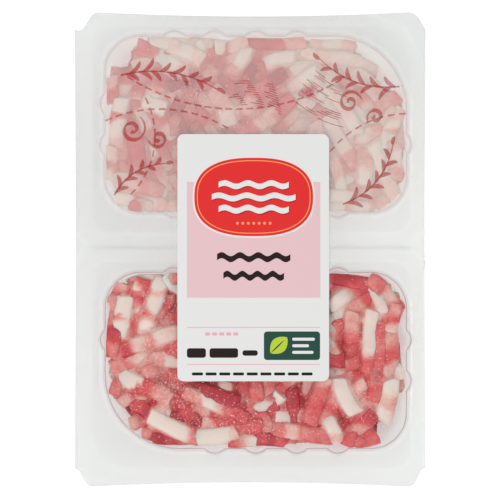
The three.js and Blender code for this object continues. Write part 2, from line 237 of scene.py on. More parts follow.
def runTree(piece, tree, sizes):
    modifier = piece.modifiers.new(tree.name, "NODES")
    modifier.node_group = tree
    for socket in tree.interface.items_tree:
        if socket.item_type == "SOCKET" and socket.in_out == "INPUT" and socket.name in sizes:
            modifier[socket.identifier] = sizes[socket.name]
    return plainMesh(piece)


def linePiece(name, lines, values=None):
    # open lines as edges; values holds for each named attribute one number a line, or one a point
    points, edges = [], []
    for line in lines:
        first = len(points)
        points += [list(p) for p in line]
        edges += [(first + i, first + i + 1) for i in range(len(line) - 1)]
    mesh = bpy.data.meshes.new(name)
    mesh.from_pydata(points, edges, [])
    for key, numbers in (values or {}).items():
        perPoint = [np.broadcast_to(n, len(line)) for n, line in zip(numbers, lines)]
        addValue(mesh, key, np.concatenate(perPoint))
    return makePiece(name, mesh)


# camera, light and floor
studio = {
    "cameraHeight": 1.8,
    "viewWidth": 0.2208,  # what 500 pixels span at the film
    "viewCentre": (-0.00004, -0.00022),
    "skyStrength": 0.80,
    "keyPower": 16.0,
    "keyPlace": (-0.9, -0.9, 2.0),
    "keySize": 1.6,
    "floorGlow": 0.66,
    "floorColour": (0.50, 0.50, 0.50, 1),
    "floorRoughness": 0.9,
    "floorSize": 12.0,
    "farthest": 20,
    "clearLayers": 40,  # how many see-through faces a ray may pass
}


def makeStudio():
    scene = bpy.context.scene
    scene.view_settings.view_transform = "Standard"
    scene.cycles.transparent_max_bounces = studio["clearLayers"]
    lens = bpy.data.cameras.new("camera")
    lens.sensor_width = 36
    lens.lens = lens.sensor_width * studio["cameraHeight"] / studio["viewWidth"]
    lens.clip_end = studio["farthest"]
    camera = bpy.data.objects.new("camera", lens)
    camera.location = (*studio["viewCentre"], studio["cameraHeight"] + filmHigh[2] * mm)
    scene.collection.objects.link(camera)
    scene.camera = camera

    world = bpy.data.worlds.new("whiteRoom")
    world.use_nodes = True
    world.node_tree.nodes["Background"].inputs["Color"].default_value = (1, 1, 1, 1)
    world.node_tree.nodes["Background"].inputs["Strength"].default_value = studio["skyStrength"]
    scene.world = world

    softbox = bpy.data.lights.new("softbox", "AREA")
    softbox.energy = studio["keyPower"]
    softbox.size = studio["keySize"]
    light = bpy.data.objects.new("softbox", softbox)
    light.location = studio["keyPlace"]
    light.rotation_mode = "QUATERNION"
    light.rotation_quaternion = (-Vector(studio["keyPlace"])).to_track_quat("-Z", "Y")
    scene.collection.objects.link(light)

    white = principled(
        "whiteFloor", Base_Color=studio["floorColour"], Roughness=studio["floorRoughness"],
        Emission_Color=(1, 1, 1, 1), Emission_Strength=studio["floorGlow"])[0]
    half = studio["floorSize"] / 2 / mm
    corners = [(-half, -half, 0), (half, -half, 0), (half, half, 0), (-half, half, 0)]
    floor = makePiece("floor", makeMesh("floor", corners, [(0, 1, 2, 3)], [white]))


makeStudio()
print("studio made")


# the outline and the pockets
packEdge = {
    "endBow": 1.8,  # the short edges curve in
    "sideBow": 0.5,
    "punches": [  # from top right, anticlockwise: nib, its rounding, shoulder, its rounding
        ((0, 7.6), 0, 4.5, 3.6),
        ((3.3, 8), 1.6, 8.2, 2.8),
        ((1.6, 7.7), 1.5, 5.8, 2.4),
        ((1.7, 8), 1.5, 5.3, 3.2),
    ],
    "nibLean": 0.4,  # a nib's outer end stands back by this
    "punchSteps": 12,
    "edgeSteps": 40,
}

pocketShape = {
    "width": 133.2,
    "length": 78.0,
    "cornerRadius": 15.8,
    "peelRadius": 33.0,
    "wall": 0.6,
    "flutePitch": 18.1,
    "fluteHalfWidth": 4.6,
    "fluteDepth": 2.1,
    "fluteRound": 0.9,
    "wallTop": (0.0, 23.6),  # inset and height of the sloping wall's ends
    "wallFoot": (4.2, 6.4),
    "rimRadius": 0.8,
    "footRadius": 5.4,
    "rimFlat": -1.25,
    "floorInset": 14.0,
    "fluteFade": ([0.6, 2.6, 6.4, 23.6], [0, 0.5, 0.8, 1]),  # heights, and how much of the flutes is left
    "cornerSteps": 13.5,
    "fluteSteps": 12,
    "roundSteps": 8,
    "wallSteps": 9,  # the sloping wall is split so that the flutes fade evenly
}

pockets = {
    "upper": {"centre": (2.5, 55.3), "turn": 1},
    "lower": {"centre": (2.5, -49.0), "turn": -1},
}


cornerSigns = ((1, 1), (-1, 1), (-1, -1), (1, -1))  # anticlockwise from the upper right


def everyCorner(radius):
    return {signs: radius for signs in cornerSigns}


def roundedLoop(low, high, radii, steps, first=0):
    # a rounded rectangle, anticlockwise from the corner that first names; radii go by the signs of the corner
    points = []
    for corner in range(first, first + 4):
        sx, sy = cornerSigns[corner % 4]
        radius = radii[sx, sy]
        cx = (high[0] - radius) if sx > 0 else (low[0] + radius)
        cy = (high[1] - radius) if sy > 0 else (low[1] + radius)
        for i in range(steps + 1):
            angle = (corner + i / steps) * math.pi / 2
            points.append((cx + radius * math.cos(angle), cy + radius * math.sin(angle)))
    return points


def bentCorner(before, corner, after, length):
    before, corner, after = (np.array(p, float) for p in (before, corner, after))
    start = corner + (before - corner) / np.hypot(*(before - corner)) * length
    end = corner + (after - corner) / np.hypot(*(after - corner)) * length
    ts = np.linspace(0, 1, packEdge["punchSteps"])[:, None]
    return (start * (1 - ts) ** 2 + corner * 2 * ts * (1 - ts) + end * ts ** 2).tolist()


def punchedCorner(nib, nibRound, shoulder, shoulderRound):
    points = [(0, nib[1] - (packEdge["nibLean"] if nib[0] > nibRound + 1 else 0))]
    if nibRound:
        points += bentCorner((0, nib[1]), nib, (shoulder, 0), nibRound)
    points += bentCorner(nib, (shoulder, 0), (packWidth / 2, 0), shoulderRound)
    return [(packWidth / 2 - across, packLength / 2 - down) for across, down in points]


def packOutline():
    corners = []
    for punch, (sx, sy) in zip(packEdge["punches"], cornerSigns):
        corner = [(x * sx, y * sy) for x, y in punchedCorner(*punch)]
        corners.append(corner[::-1] if sx * sy < 0 else corner)
    end, side = packEdge["endBow"], packEdge["sideBow"]
    inward = np.array([(0, -end), (side, 0), (0, end), (-side, 0)])
    outline = []
    for number, corner in enumerate(corners):
        start, end = np.array(corner[-1]), np.array(corners[(number + 1) % 4][0])
        ts = np.arange(1, packEdge["edgeSteps"])[:, None] / packEdge["edgeSteps"]
        outline += [corner, start + (end - start) * ts + inward[number] * (4 * ts * (1 - ts))]
    return np.concatenate(outline)


def pocketRing(pocket, inset, flute):
    # one level of a pocket, anticlockwise; flute says how much of the flutes is left
    shape = pocketShape
    pitch = shape["flutePitch"]
    longFlutes = [n * pitch for n in (-2, -1, 0, 1, 2)]
    sideFlutes = [-pitch / 2, pitch / 2]
    corners = ((1, -1, shape["cornerRadius"]), (1, 1, shape["peelRadius"]),
               (-1, 1, shape["cornerRadius"]), (-1, -1, shape["cornerRadius"]))
    sides = (((1, 0), (0, 1), sideFlutes[:1]), ((0, 1), (-1, 0), longFlutes[1:]),
             ((-1, 0), (0, -1), sideFlutes), ((0, -1), (1, 0), longFlutes))
    shares = np.linspace(-1, 1, shape["fluteSteps"] + 1)
    bulge = np.cos(shares * math.pi / 2).clip(0) ** shape["fluteRound"] * shape["fluteDepth"] * flute
    points = []
    for side, (sx, sy, radius) in enumerate(corners):
        steps = round(shape["cornerSteps"] * radius / shape["cornerRadius"])
        for i in range(steps + 1):
            angle = (side - 1 + i / steps) * math.pi / 2
            points.append((sx * (shape["width"] / 2 - radius) + (radius - inset) * math.cos(angle),
                           sy * (shape["length"] / 2 - radius) + (radius - inset) * math.sin(angle)))
        normal, along, flutes = sides[side]
        half = (shape["width"] if normal[0] else shape["length"]) / 2 - inset
        for place in flutes:
            for share, out in zip(shares, bulge):
                run = place + share * shape["fluteHalfWidth"]
                points.append((normal[0] * (half + out) + along[0] * run,
                               normal[1] * (half + out) + along[1] * run))
    return np.array(pocket["centre"]) + pocket["turn"] * np.array(points)


def insetOf(points, low, high, radii):
    # how far points lie in from a rounded rectangle
    middle = (np.array(low) + high) / 2
    half = (np.array(high) - low) / 2
    away = points[:, :2] - middle
    radius = np.zeros(len(points))
    for (sx, sy), r in radii.items():
        radius[(away[:, 0] * sx >= 0) & (away[:, 1] * sy >= 0)] = r
    q = np.abs(away) - half + radius[:, None]
    return radius - np.hypot(*np.maximum(q, 0).T) - np.minimum(q.max(1), 0)


def rimInset(pocket, points):  # the same for a pocket's rim, flutes left out
    half = np.array((pocketShape["width"], pocketShape["length"])) / 2
    own = (points[:, :2] - pocket["centre"]) * pocket["turn"]
    radii = everyCorner(pocketShape["cornerRadius"])
    radii[1, 1] = pocketShape["peelRadius"]
    return insetOf(own, -half, half, radii)


def roundedProfile(points, radii):
    # a line of corners with the inner ones rounded, as (inset, z) points
    line = [points[0]]
    for before, corner, after, radius in zip(points, points[1:], points[2:], radii):
        back = (Vector(before) - Vector(corner)).normalized()
        ahead = (Vector(after) - Vector(corner)).normalized()
        half = back.angle(ahead) / 2
        middle = Vector(corner) + (back + ahead).normalized() * radius / math.sin(half)
        start = Vector(corner) + back * radius / math.tan(half) - middle
        end = Vector(corner) + ahead * radius / math.tan(half) - middle
        steps = pocketShape["roundSteps"]
        line += [tuple(middle + start.slerp(end, i / steps, start)) for i in range(steps + 1)]
    return line + [points[-1]]


def pocketProfile():
    (topInset, topZ), (footInset, footZ) = pocketShape["wallTop"], pocketShape["wallFoot"]
    slope = (footInset - topInset) / (topZ - footZ)
    floorZ = pocketShape["wall"]
    rim = (topInset - slope * (trayDepth - topZ), trayDepth)
    foot = (footInset + slope * (footZ - floorZ), floorZ)
    edge, middle = (pocketShape["rimFlat"], trayDepth), (pocketShape["floorInset"], floorZ)
    radii = pocketShape["rimRadius"], pocketShape["footRadius"]
    line = roundedProfile([edge, rim, foot, middle], radii)
    wall, split = pocketShape["wallSteps"], len(line) // 2
    first, last = np.array(line[split - 1]), np.array(line[split])
    between = [tuple(first + (last - first) * i / wall) for i in range(1, wall)]
    return line[:split] + between + line[split:]


def fluteLeft(z):
    return float(np.interp(z, *pocketShape["fluteFade"]))


outline = packOutline()
rimLoops = {name: pocketRing(pocket, pocketShape["rimFlat"], 1) for name, pocket in pockets.items()}
print("outline made")


# relief of the flange: low steps and creases, never above the flange
flangeRelief = {
    "landLow": {"upper": (-70.3, 7.3), "lower": (-70.3, -97.0)},
    "landHigh": {"upper": (71.3, 99.0), "lower": (71.3, -5.1)},
    "landRadius": 8.2,
    "landPeelRadius": 17.5,
    "landDepth": 0.1,
    "landSoft": 0.42,  # half width of the step
    "ringOut": 2.2,  # a fine ring outside each rim
    "ringDepth": 0.1,
    "ringSoft": 0.34,
    "score": ((-70.7, 1.0), (70.6, 1.0)),
    "scoreDepth": 0.2,
    "scoreSoft": 0.75,
    "creases": [  # ends, depth, half width, and the painted highlight along the crease, painted shade where below zero
        ((70.6, 2.25), (76.6, 8.0), 0.12, 0.45, 1.0),
        ((70.6, 0.66), (76.5, -5.1), 0.12, 0.45, 1.0),
        ((-70.7, 1.1), (-77.5, 7.3), 0.12, 0.45, 0.8),
        ((-70.7, 0.9), (-77.5, -5.1), 0.12, 0.45, 0.8),
        ((76.6, -5.1), (76.2, -95.0), 0.08, 0.4, 0.7),
        ((56.0, 103.0), (68.4, 97.4), 0.12, 0.6, 0.8),
        ((68.4, 97.4), (75.0, 86.3), 0.12, 0.6, 0.8),
        ((-69.4, -95.6), (-54.4, -101.6), 0.12, 0.6, -0.8),
    ],
    # painted light along the relief lines: painted highlights above zero, painted shade below
    "paintedLight": {"land": -0.35, "landEdge": 0.7, "ring": 0.9, "insideRing": -0.5, "score": -1.3},
    "insideRing": 0.9,  # how far inside the ring its shadow lies
    "gridStep": 2.6,
    "rowStep": 2.4,
    "rows": (-1.6, -1, -0.5, 0, 0.5, 1, 1.6),  # across a line, in its half widths
    "apart": 0.3,  # points nearer to an edge than this are left out
}


def landRadii(name):
    peel = pockets[name]["turn"]
    return {**everyCorner(flangeRelief["landRadius"]), (peel, peel): flangeRelief["landPeelRadius"]}


def landInset(name, points):
    return insetOf(points, flangeRelief["landLow"][name], flangeRelief["landHigh"][name], landRadii(name))


def toSegment(points, start, end):  # distance to a straight line
    start, along = np.array(start), np.array(end) - start
    t = ((points[:, :2] - start) @ along / (along @ along)).clip(0, 1)
    return np.hypot(*(points[:, :2] - start - t[:, None] * along).T)


def reliefAt(points):
    # how far the flange lies below its top at each point, and the painted light on the clear sheet there:
    # painted highlight above zero, painted shade below
    relief, paintedLight = flangeRelief, flangeRelief["paintedLight"]
    drop, shade = np.zeros(len(points)), np.zeros(len(points))
    for name, pocket in pockets.items():
        land = landInset(name, points)
        drop += relief["landDepth"] * smoothStep((land / relief["landSoft"] + 1) / 2)
        shade += paintedLight["land"] * (land > 0) + paintedLight["landEdge"] * np.exp(-(land / relief["landSoft"]) ** 2)
        ring = rimInset(pocket, points) + relief["ringOut"]
        onRing = np.exp(-(ring / relief["ringSoft"]) ** 2)
        drop += relief["ringDepth"] * onRing
        shade += paintedLight["ring"] * onRing
        shade += paintedLight["insideRing"] * np.exp(-((ring + relief["insideRing"]) / relief["ringSoft"]) ** 2)
    score = (*relief["score"], relief["scoreDepth"], relief["scoreSoft"], paintedLight["score"])
    for start, end, depth, soft, light in (score, *relief["creases"]):
        onLine = np.exp(-(toSegment(points, start, end) / soft) ** 2)
        drop += depth * onLine
        shade += light * onLine
    return drop, shade


def reliefRows():
    # extra points on both sides of each relief line, so that the lines come out clean
    relief, rows = flangeRelief, []

    def alongLoop(loop, soft):
        ahead = np.roll(loop, -1, 0) - loop
        length = np.hypot(*ahead.T)
        normal = np.stack([ahead[:, 1], -ahead[:, 0]], 1) / length[:, None]
        steps = np.maximum((length / relief["rowStep"]).astype(int), 1)
        for start, move, out, count in zip(loop, ahead, normal, steps):
            for i in range(count):
                rows.extend(start + move * i / count + out * (row * soft) for row in relief["rows"])

    for name, pocket in pockets.items():
        land = roundedLoop(relief["landLow"][name], relief["landHigh"][name], landRadii(name), 8, first=-1)
        alongLoop(np.array(land), relief["landSoft"])
        alongLoop(pocketRing(pocket, -relief["ringOut"], 0), relief["ringSoft"])
    lines = [(*relief["score"], 0, relief["scoreSoft"], 0), *relief["creases"]]
    for start, end, _, soft, _ in lines:
        start, move = np.array(start), np.array(end) - start
        length = np.hypot(*move)
        out = np.array((move[1], -move[0])) / length
        count = int(length / relief["rowStep"]) + 1
        for i in range(count + 1):
            rows.extend(start + move * (i / count) + out * soft * row for row in relief["rows"])
    return np.array(rows)


def pocketGrid(pocket, step, beyond=0):
    # even points over a pocket, row by row, and how many make a row
    xs, ys = (np.arange(-size / 2, size / 2 + beyond, step)
              for size in (pocketShape["width"], pocketShape["length"]))
    return np.stack(np.meshgrid(xs, ys), -1).reshape(-1, 2) + pocket["centre"], len(xs)


def insideLoop(points, loop):  # even-odd rule
    inside = np.zeros(len(points), bool)
    x, y = points[:, 0], points[:, 1]
    for (x0, y0), (x1, y1) in zip(loop, np.roll(loop, -1, 0)):
        if y0 == y1:
            continue
        crosses = (y0 > y) != (y1 > y)
        inside ^= crosses & (x < (x1 - x0) * (y - y0) / (y1 - y0) + x0)
    return inside


def makeSheetPlan():
    # the whole outline as triangles, with both rims as lines in it
    relief = flangeRelief
    xs = np.arange(trayLow[0], trayHigh[0], relief["gridStep"])
    ys = np.arange(trayLow[1], trayHigh[1], relief["gridStep"])
    grid = np.stack(np.meshgrid(xs, ys), -1).reshape(-1, 2)
    loose = np.concatenate([grid, reliefRows()])
    keep = insideLoop(loose, outline)
    for loop in rimLoops.values():
        keep &= ~insideLoop(loose, loop)
    loose = loose[keep]
    loops = [outline, *rimLoops.values()]
    near, edges = np.concatenate(loops), []
    for loop in loops:
        edges += [(len(edges) + i, len(edges) + (i + 1) % len(loop)) for i in range(len(loop))]
    gaps = np.array([np.hypot(*(near - p).T).min() for p in loose])
    points = np.concatenate([near, loose[gaps > relief["apart"]]])
    made = delaunay_2d_cdt([Vector(p) for p in points], edges, [], 0, 1e-4)
    plan = np.array([tuple(v) for v in made[0]])
    faces = np.array([f for f in made[2] if len(f) == 3])
    middles = plan[faces].mean(1)
    inside = insideLoop(middles, outline)
    faces, middles = faces[inside], middles[inside]
    region = np.zeros(len(faces), int)  # 0 flange, 1 over the upper pocket, 2 over the lower
    for number, loop in enumerate(rimLoops.values(), 1):
        region[insideLoop(middles, loop)] = number
    a, b, c = (plan[faces[:, k]] for k in range(3))
    turned = np.cross(b - a, c - a) < 0
    faces[turned] = faces[turned][:, ::-1]
    return plan, faces, region


plan, planFaces, planRegion = makeSheetPlan()
print("sheet plan made:", len(planFaces), "triangles")


# tray
trayLook = {
    "alpha": 0.3,
    "ior": 1.45,
    "roughness": 0.16,
    "plain": (0.55, 0.59, 0.57),
    "paintedLightStep": 0.27,
    "paintedRimColour": (0.20, 0.11, 0.10),
    "paintedRimStrength": 0.9,
    "flangePaintedLight": [  # painted light and shade spread wide over the flange: place, spread and strength
        ((-10, 104), 22, -0.10), ((35, 104), 22, -0.10), ((-50, 104), 20, -0.04),
        ((-76, 60), 22, -0.12), ((-76, 20), 22, -0.12), ((76, -40), 25, 0.16), ((76, -80), 20, 0.12),
        ((60, 2), 20, 0.12), ((30, 2), 20, 0.06), ((76, 40), 25, 0.10),
    ],
    "paintedRimShade": (-0.34, 23.2),  # the painted dark rim line, shade with the meat's pink reflection where the sheet bends down: from this far outside the rim down to this height
    "wallColour": (0.64, 0.70, 0.66),
    "wallBelow": 1.2,  # under the flange
}


def makeTray():
    look, profile = trayLook, pocketProfile()
    used = np.unique(planFaces[planRegion == 0])
    place = -np.ones(len(plan), int)
    place[used] = np.arange(len(used))
    flat = plan[used]
    points = [np.column_stack([flat, trayDepth - reliefAt(flat)[0]])]
    paintedRimShade = [np.zeros(len(used))]
    faces = [tuple(f) for f in place[planFaces[planRegion == 0]]]
    total = len(used)
    for pocket in pockets.values():
        count = len(pocketRing(pocket, 0, 0))
        for level, (inset, z) in enumerate(profile):
            ring = pocketRing(pocket, inset, fluteLeft(z))
            height = np.full(count, z) - (0 if level else reliefAt(ring)[0])
            points.append(np.column_stack([ring, height]))
            # points on the painted dark rim line
            onRim = inset > look["paintedRimShade"][0] and z > look["paintedRimShade"][1]
            paintedRimShade.append(np.full(count, float(onRim)))
            if level:
                faces += wallFaces(total + (level - 1) * count, count)
        total += len(profile) * count
        faces.append(tuple(range(total - count, total)))
    material, tree, shader = principled("clearTray", Roughness=look["roughness"], Alpha=look["alpha"],
                                        IOR=look["ior"])
    tint = addNode(tree, "ShaderNodeAttribute", attribute_name="sheetTint")
    tree.links.new(tint.outputs["Color"], shader.inputs["Base Color"])
    mesh = makeMesh("tray", np.concatenate(points), faces, [material])
    addValue(mesh, "paintedRimShade", np.concatenate(paintedRimShade))
    mendMesh(mesh, 2e-6, facingUp=True)
    tray = makePiece("clearTray", mesh)
    solid = tray.modifiers.new("sheet", "SOLIDIFY")
    solid.thickness = pocketShape["wall"] * mm
    solid.offset = -1
    mesh = plainMesh(tray)
    at = pointsOf(mesh)
    at[:, 2] = at[:, 2].clip(0, trayDepth)
    placePoints(mesh, at)
    addTint(mesh, "sheetTint", trayTint(at, valuesOf(mesh, "paintedRimShade")))
    dropValues(mesh, "paintedRimShade")
    return tray


def trayTint(at, paintedRimShade):
    look = trayLook
    # painted highlights and shade along the relief lines
    tone = 1 + look["paintedLightStep"] * reliefAt(at)[1]
    # broad painted light and shade over the flange
    for (x, y), spread, amount in look["flangePaintedLight"]:
        tone += amount * np.exp(-((at[:, 0] - x) ** 2 + (at[:, 1] - y) ** 2) / (2 * spread ** 2))
    colours = np.array(look["plain"]) * tone[:, None]
    colours[at[:, 2] < trayDepth - look["wallBelow"]] = look["wallColour"]
    # the painted rim shade and reflection mixed in
    band = paintedRimShade[:, None] * look["paintedRimStrength"]
    return colours * (1 - band) + np.array(look["paintedRimColour"]) * band


def ridesOn(piece, slot, *nodes):
    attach(piece, "root")
    if nodes:
        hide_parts(*nodes)


ridesOn(makeTray(), "tray", "tray")
print("tray made")


# film
filmLook = {
    "gap": 0.02,  # to the flange
    "clearAlpha": 0.012,
    "clearColour": (0.85, 0.84, 0.83, 1),
    "hazeAlpha": 0.17,
    "hazeColour": (0.92, 0.87, 0.83, 1),
    "roughness": (0.12, 0.4),  # clear and hazy
}


def makeFilm():
    over = np.isin(np.arange(len(plan)), planFaces[planRegion == 0])
    drop = np.where(over, reliefAt(plan)[0], 0)
    top = np.column_stack([plan, filmHigh[2] - drop])
    bottom = np.column_stack([plan, filmLow[2] + filmLook["gap"] - drop])
    points, faces = slab(top, bottom, planFaces.tolist())
    hazy = (planRegion == 1).astype(int).tolist()
    sheets = [principled(kind + "Film", Base_Color=filmLook[key + "Colour"], Roughness=roughness,
                         Alpha=filmLook[key + "Alpha"], IOR=1.3)[0]
              for kind, key, roughness in zip(("clear", "hazy"), ("clear", "haze"), filmLook["roughness"])]
    mesh = makeMesh("film", points, faces, sheets, hazy + hazy + [0] * (len(faces) - 2 * len(hazy)))
    return makePiece("lidFilm", mesh)


ridesOn(makeFilm(), "film", "film")
print("film made")


# the heaps, dropped strip by strip by the rule that the solids follow
heapRule = {
    "seed": {"upper": 11, "lower": 29},
    "clearance": 0.3,
    "cell": 2.0,  # grid of the height field
    "stations": 9,  # points along a strip
    "tries": 24,
    "mostSunk": 2.4,
    "sidesAt": 0.45,  # where a strip is felt from below, in widths from its middle
    "middleGive": 0.35,
    "sideGive": 1.5,
    "sag": 0.25,
    "endDroop": 1.3,
    "settling": 30,
    "length": (24, 42),
    "width": (5.6, 7.4),
    "height": (5, 6.4),
    "bow": 4.5,
    "sway": 1.5,
    "underFilm": (0.1, 1),
    "printSteps": 4,  # how finely a strip is drawn into the height field
    "printAcross": (-0.5, -0.25, 0, 0.25, 0.5),
    "levelInset": 6,  # the fill level is taken so far in
    "fillLevel": 13.5,
    "gapStrips": 80,
    "leastShare": 0.7,  # a placed strip moves in by steps to here at most
    "shareStep": 0.01,
    "bare": {  # places at the wall without strips, and how far round
        "upper": [(-58.6, 87.2, 7.5), (70.0, 90.0, 21.0)],
        "lower": [(70.0, -83.0, 14.5), (66.0, -15.5, 5.0), (-59.5, -72.0, 5.0), (20.3, -88.5, 2.6),
                  (37.9, -88.0, 2.2)],
    },
    "coveredTop": 13.6,  # strips that stay below this inside the core are left out
    "coveredInset": 11,
    "swell": 1.07,  # the strips press against each other
}

fillRule = {  # short strips, sunk into the holes that are left between the others
    "strips": 260,
    "tries": 14,
    "length": (11, 27),
    "slide": 0.45,  # in lengths
    "bow": 1.8,
    "sway": 0.6,
    "holeInset": 1.4,
    "stripInset": 1.0,
    "holeFromBare": 1.5,
    "stripFromBare": 1.0,
    "to": {"upper": 18.6, "lower": 18.0},
    "atWall": (7.0, 20.6),  # nearer the wall than this they rise so far
    "top": 21.4,  # and elsewhere they stay below this
    "sunk": 0.6,
    "overTop": 2.5,
    "settling": 6,
    "shownBy": 1.2,
    "heightCost": 1.5,
}

# Strips that lie on top where the pack is seen, lowest first: ends, bow, and what they are made of
# from one end to the other: f fat, p pink, l lean, d dark lean.
topStrips = {
    "upper": [
        (-16.5, 91, -3, 88.5, 0.6, "ffp"),
        (-1.5, 88.5, -8.5, 78, 0.5, "ffp"),
        (4, 81, 19.5, 85.5, 0.8, "fff"),
        (-46, 83.5, -51.5, 64.5, 0.8, "fplf"),
        (-37.5, 81, -43.5, 62.5, -0.8, "flpf"),
        (-16.5, 71, -9.5, 54.5, 1.6, "pf"),
        (-56.5, 67, -59, 45, -1, "flfp"),
        (-47, 66, -37.5, 62, 0, "ff"),
        (62, 60.5, 59.5, 41, 0.5, "fff"),
        (49.5, 50.5, 51, 28, 0.6, "lpf"),
        (34, 23.5, 46.5, 22.5, 0.8, "ff"),
        (30, 79, 8, 62.5, -1, "ffpl"),
        (28, 76.5, 47.5, 51, 2.4, "ffff"),
    ],
    "lower": [
        (-48, -12, -54.5, -32, 0, "lflflp"),
        (-55.5, -20.5, -59.5, -46, -0.4, "fflffll"),
        (34, -11, 44, -13.5, 0.9, "llf"),
        (35.5, -25.5, 47.5, -16, 0, "ffpf"),
        (45, -27.5, 47, -48, -0.9, "ppllp"),
        (58.5, -32, 54.5, -67.5, 0.9, "lllll"),
        (-59, -68, -30, -60.5, 1.3, "plplll"),
        (-47, -55, -32.5, -49.5, 0, "ppf"),
        (-24, -61.5, -6, -68, 0.4, "ddd"),
        (7, -78.5, 36, -83, -0.4, "llplll"),
        (-21, -77, 5.5, -78.5, 0, "pllll"),
        (-39, -67, -37, -76.5, 0, "ff"),
        (62.5, -56.5, 58.5, -75.5, 0.9, "ffppf"),
        (-49, -75.5, -25, -87, -0.9, "fffl"),
        (-24.5, -83.5, -5.5, -81.5, -0.4, "fffp"),
        (-29, -63, -1, -75, 0.4, "ppffplll"),
        (-1, -64.5, 14, -63.5, -4, "fff"),
        (39.5, -57.5, 47, -72.5, -1.3, "fff"),
        (33.5, -56.5, 26, -77, 0, "plll"),
        (57.5, -73.5, 46, -86, 0.4, "lpp"),
        (38, -78, 43, -88.5, 0, "ffp"),
        (53.5, -12, 62, -27, 0.9, "fff"),
        (54.5, -27, 52, -54.5, -0.4, "fffffll"),
        (62, -36.5, 61, -56.5, 1.3, "plp"),
        (65.5, -23.5, 62.5, -36.5, 0, "plp"),
        (-42.5, -10, -51.5, -36.5, 0, "fpfflfp"),
        (-57, -45, -32, -36.5, 0.4, "lfpff"),
    ],
}

# What the strips that the rule places are made of. The first oval that holds the middle of a strip counts.
bandChoice = {
    "upper": [
        ((-14, 64), (33, 15), "lld dl pld ldl llp plp lpl dlp"),
        ((-48, 55), (24, 36), "plp lpl lfp flp pll pfl lpf"),
        ((58, 60), (36, 46), "ffp fpf ppf pfp fff ppl pff pfpp"),
        ((0, 55), (90, 90), "ffp fpf plp pfp fff lpp llp pff"),
    ],
    "lower": [
        ((-44, -30), (24, 26), "ffp pfp lpf fpl plp pff lfp"),
        ((54, -42), (20, 34), "plp lpl pfp ppl lpf fpl llp ppf"),
        ((0, -50), (90, 90), "lpl lld plp llp fpl ldl llll dlp pff plf"),
    ],
}

# The wall and floor that the strips feel: inset from the rim and height.
floorProfile = [(-1, 24.6), (-0.3, 24.3), (0, 23.6), (4.2, 6.4), (5.6, 2.6), (9.4, 0.6)]


def drawFrom(seed):
    state = seed

    def draw(low, high):
        nonlocal state
        state = (state * 1664525 + 1013904223) % 4294967296
        return low + (high - low) * state / 4294967296

    return draw


def groundAt(pocket, x, y):
    # the lowest that a strip can lie at a point, for the wall or floor under it
    half = (pocketShape["width"] / 2, pocketShape["length"] / 2)
    px = pocket["turn"] * (x - pocket["centre"][0])
    py = pocket["turn"] * (y - pocket["centre"][1])
    radius = pocketShape["peelRadius"] if px > 0 and py > 0 else pocketShape["cornerRadius"]
    qx, qy = abs(px) - half[0] + radius, abs(py) - half[1] + radius
    inset = radius - math.hypot(max(qx, 0), max(qy, 0)) - min(max(qx, qy), 0) - heapRule["clearance"]
    if inset <= floorProfile[0][0]:
        return trayDepth
    for (inset0, z0), (inset1, z1) in zip(floorProfile, floorProfile[1:]):
        if inset < inset1:
            return z0 + (z1 - z0) * (inset - inset0) / (inset1 - inset0) + heapRule["clearance"]
    return floorProfile[-1][1] + heapRule["clearance"]


def heightField(pocket):
    cell = heapRule["cell"]
    columns = math.ceil(pocketShape["width"] / cell) + 1
    rows = math.ceil(pocketShape["length"] / cell) + 1
    left = pocket["centre"][0] - pocketShape["width"] / 2
    bottom = pocket["centre"][1] - pocketShape["length"] / 2
    spots = [(left + c * cell, bottom + r * cell) for r in range(rows) for c in range(columns)]
    inner = np.nonzero(rimInset(pocket, np.array(spots)) > heapRule["levelInset"])[0]
    heights = [groundAt(pocket, x, y) for x, y in spots]

    def at(x, y):
        c = min(max(math.floor((x - left) / cell + 0.5), 0), columns - 1)
        r = min(max(math.floor((y - bottom) / cell + 0.5), 0), rows - 1)
        return r * columns + c

    return {"heights": heights, "tops": [0.0] * len(spots), "at": at, "inner": inner, "spots": spots}


def planOf(strip):
    x0, y0, x1, y1 = strip["ends"]
    length = math.hypot(x1 - x0, y1 - y0)
    side = ((y0 - y1) / length, (x1 - x0) / length)
    line = []
    for i in range(heapRule["stations"]):
        t = i / (heapRule["stations"] - 1)
        off = strip["bow"] * 4 * t * (1 - t) + strip["sway"] * math.sin(2 * math.pi * t)
        line.append((x0 + (x1 - x0) * t + side[0] * off, y0 + (y1 - y0) * t + side[1] * off))
    return line, side


def landing(strip, pocket, field):
    # a strip rests on the high places, sags between them and is pressed down by the film
    rule, heights, at = heapRule, field["heights"], field["at"]
    line, side = planOf(strip)
    edge = strip["width"] * rule["sidesAt"]
    dx, dy = side[0] * edge, side[1] * edge
    wallsHere, rest = [], []
    for x, y in line:
        ground = max(groundAt(pocket, x + dx, y + dy), groundAt(pocket, x - dx, y - dy))
        sides = max(heights[at(x + dx, y + dy)], heights[at(x - dx, y - dy)])
        wallsHere.append(ground)
        rest.append(max(ground, heights[at(x, y)] - rule["middleGive"], sides - rule["sideGive"]))
    z = list(rest)
    last = rule["stations"] - 1
    for _ in range(rule["settling"]):
        for i in range(1, last):
            z[i] = max(rest[i], (z[i - 1] + z[i + 1]) / 2 - rule["sag"])
        z[0] = max(rest[0], z[1] - rule["endDroop"])
        z[last] = max(rest[last], z[last - 1] - rule["endDroop"])
    pressed = [min(height, strip["highest"] - strip["height"]) for height in z]
    sunk = max(r - p for r, p in zip(rest, pressed))
    inWall = max(w - p for w, p in zip(wallsHere, pressed))
    return {"line": line, "z": pressed, "sunk": sunk, "inWall": inWall}


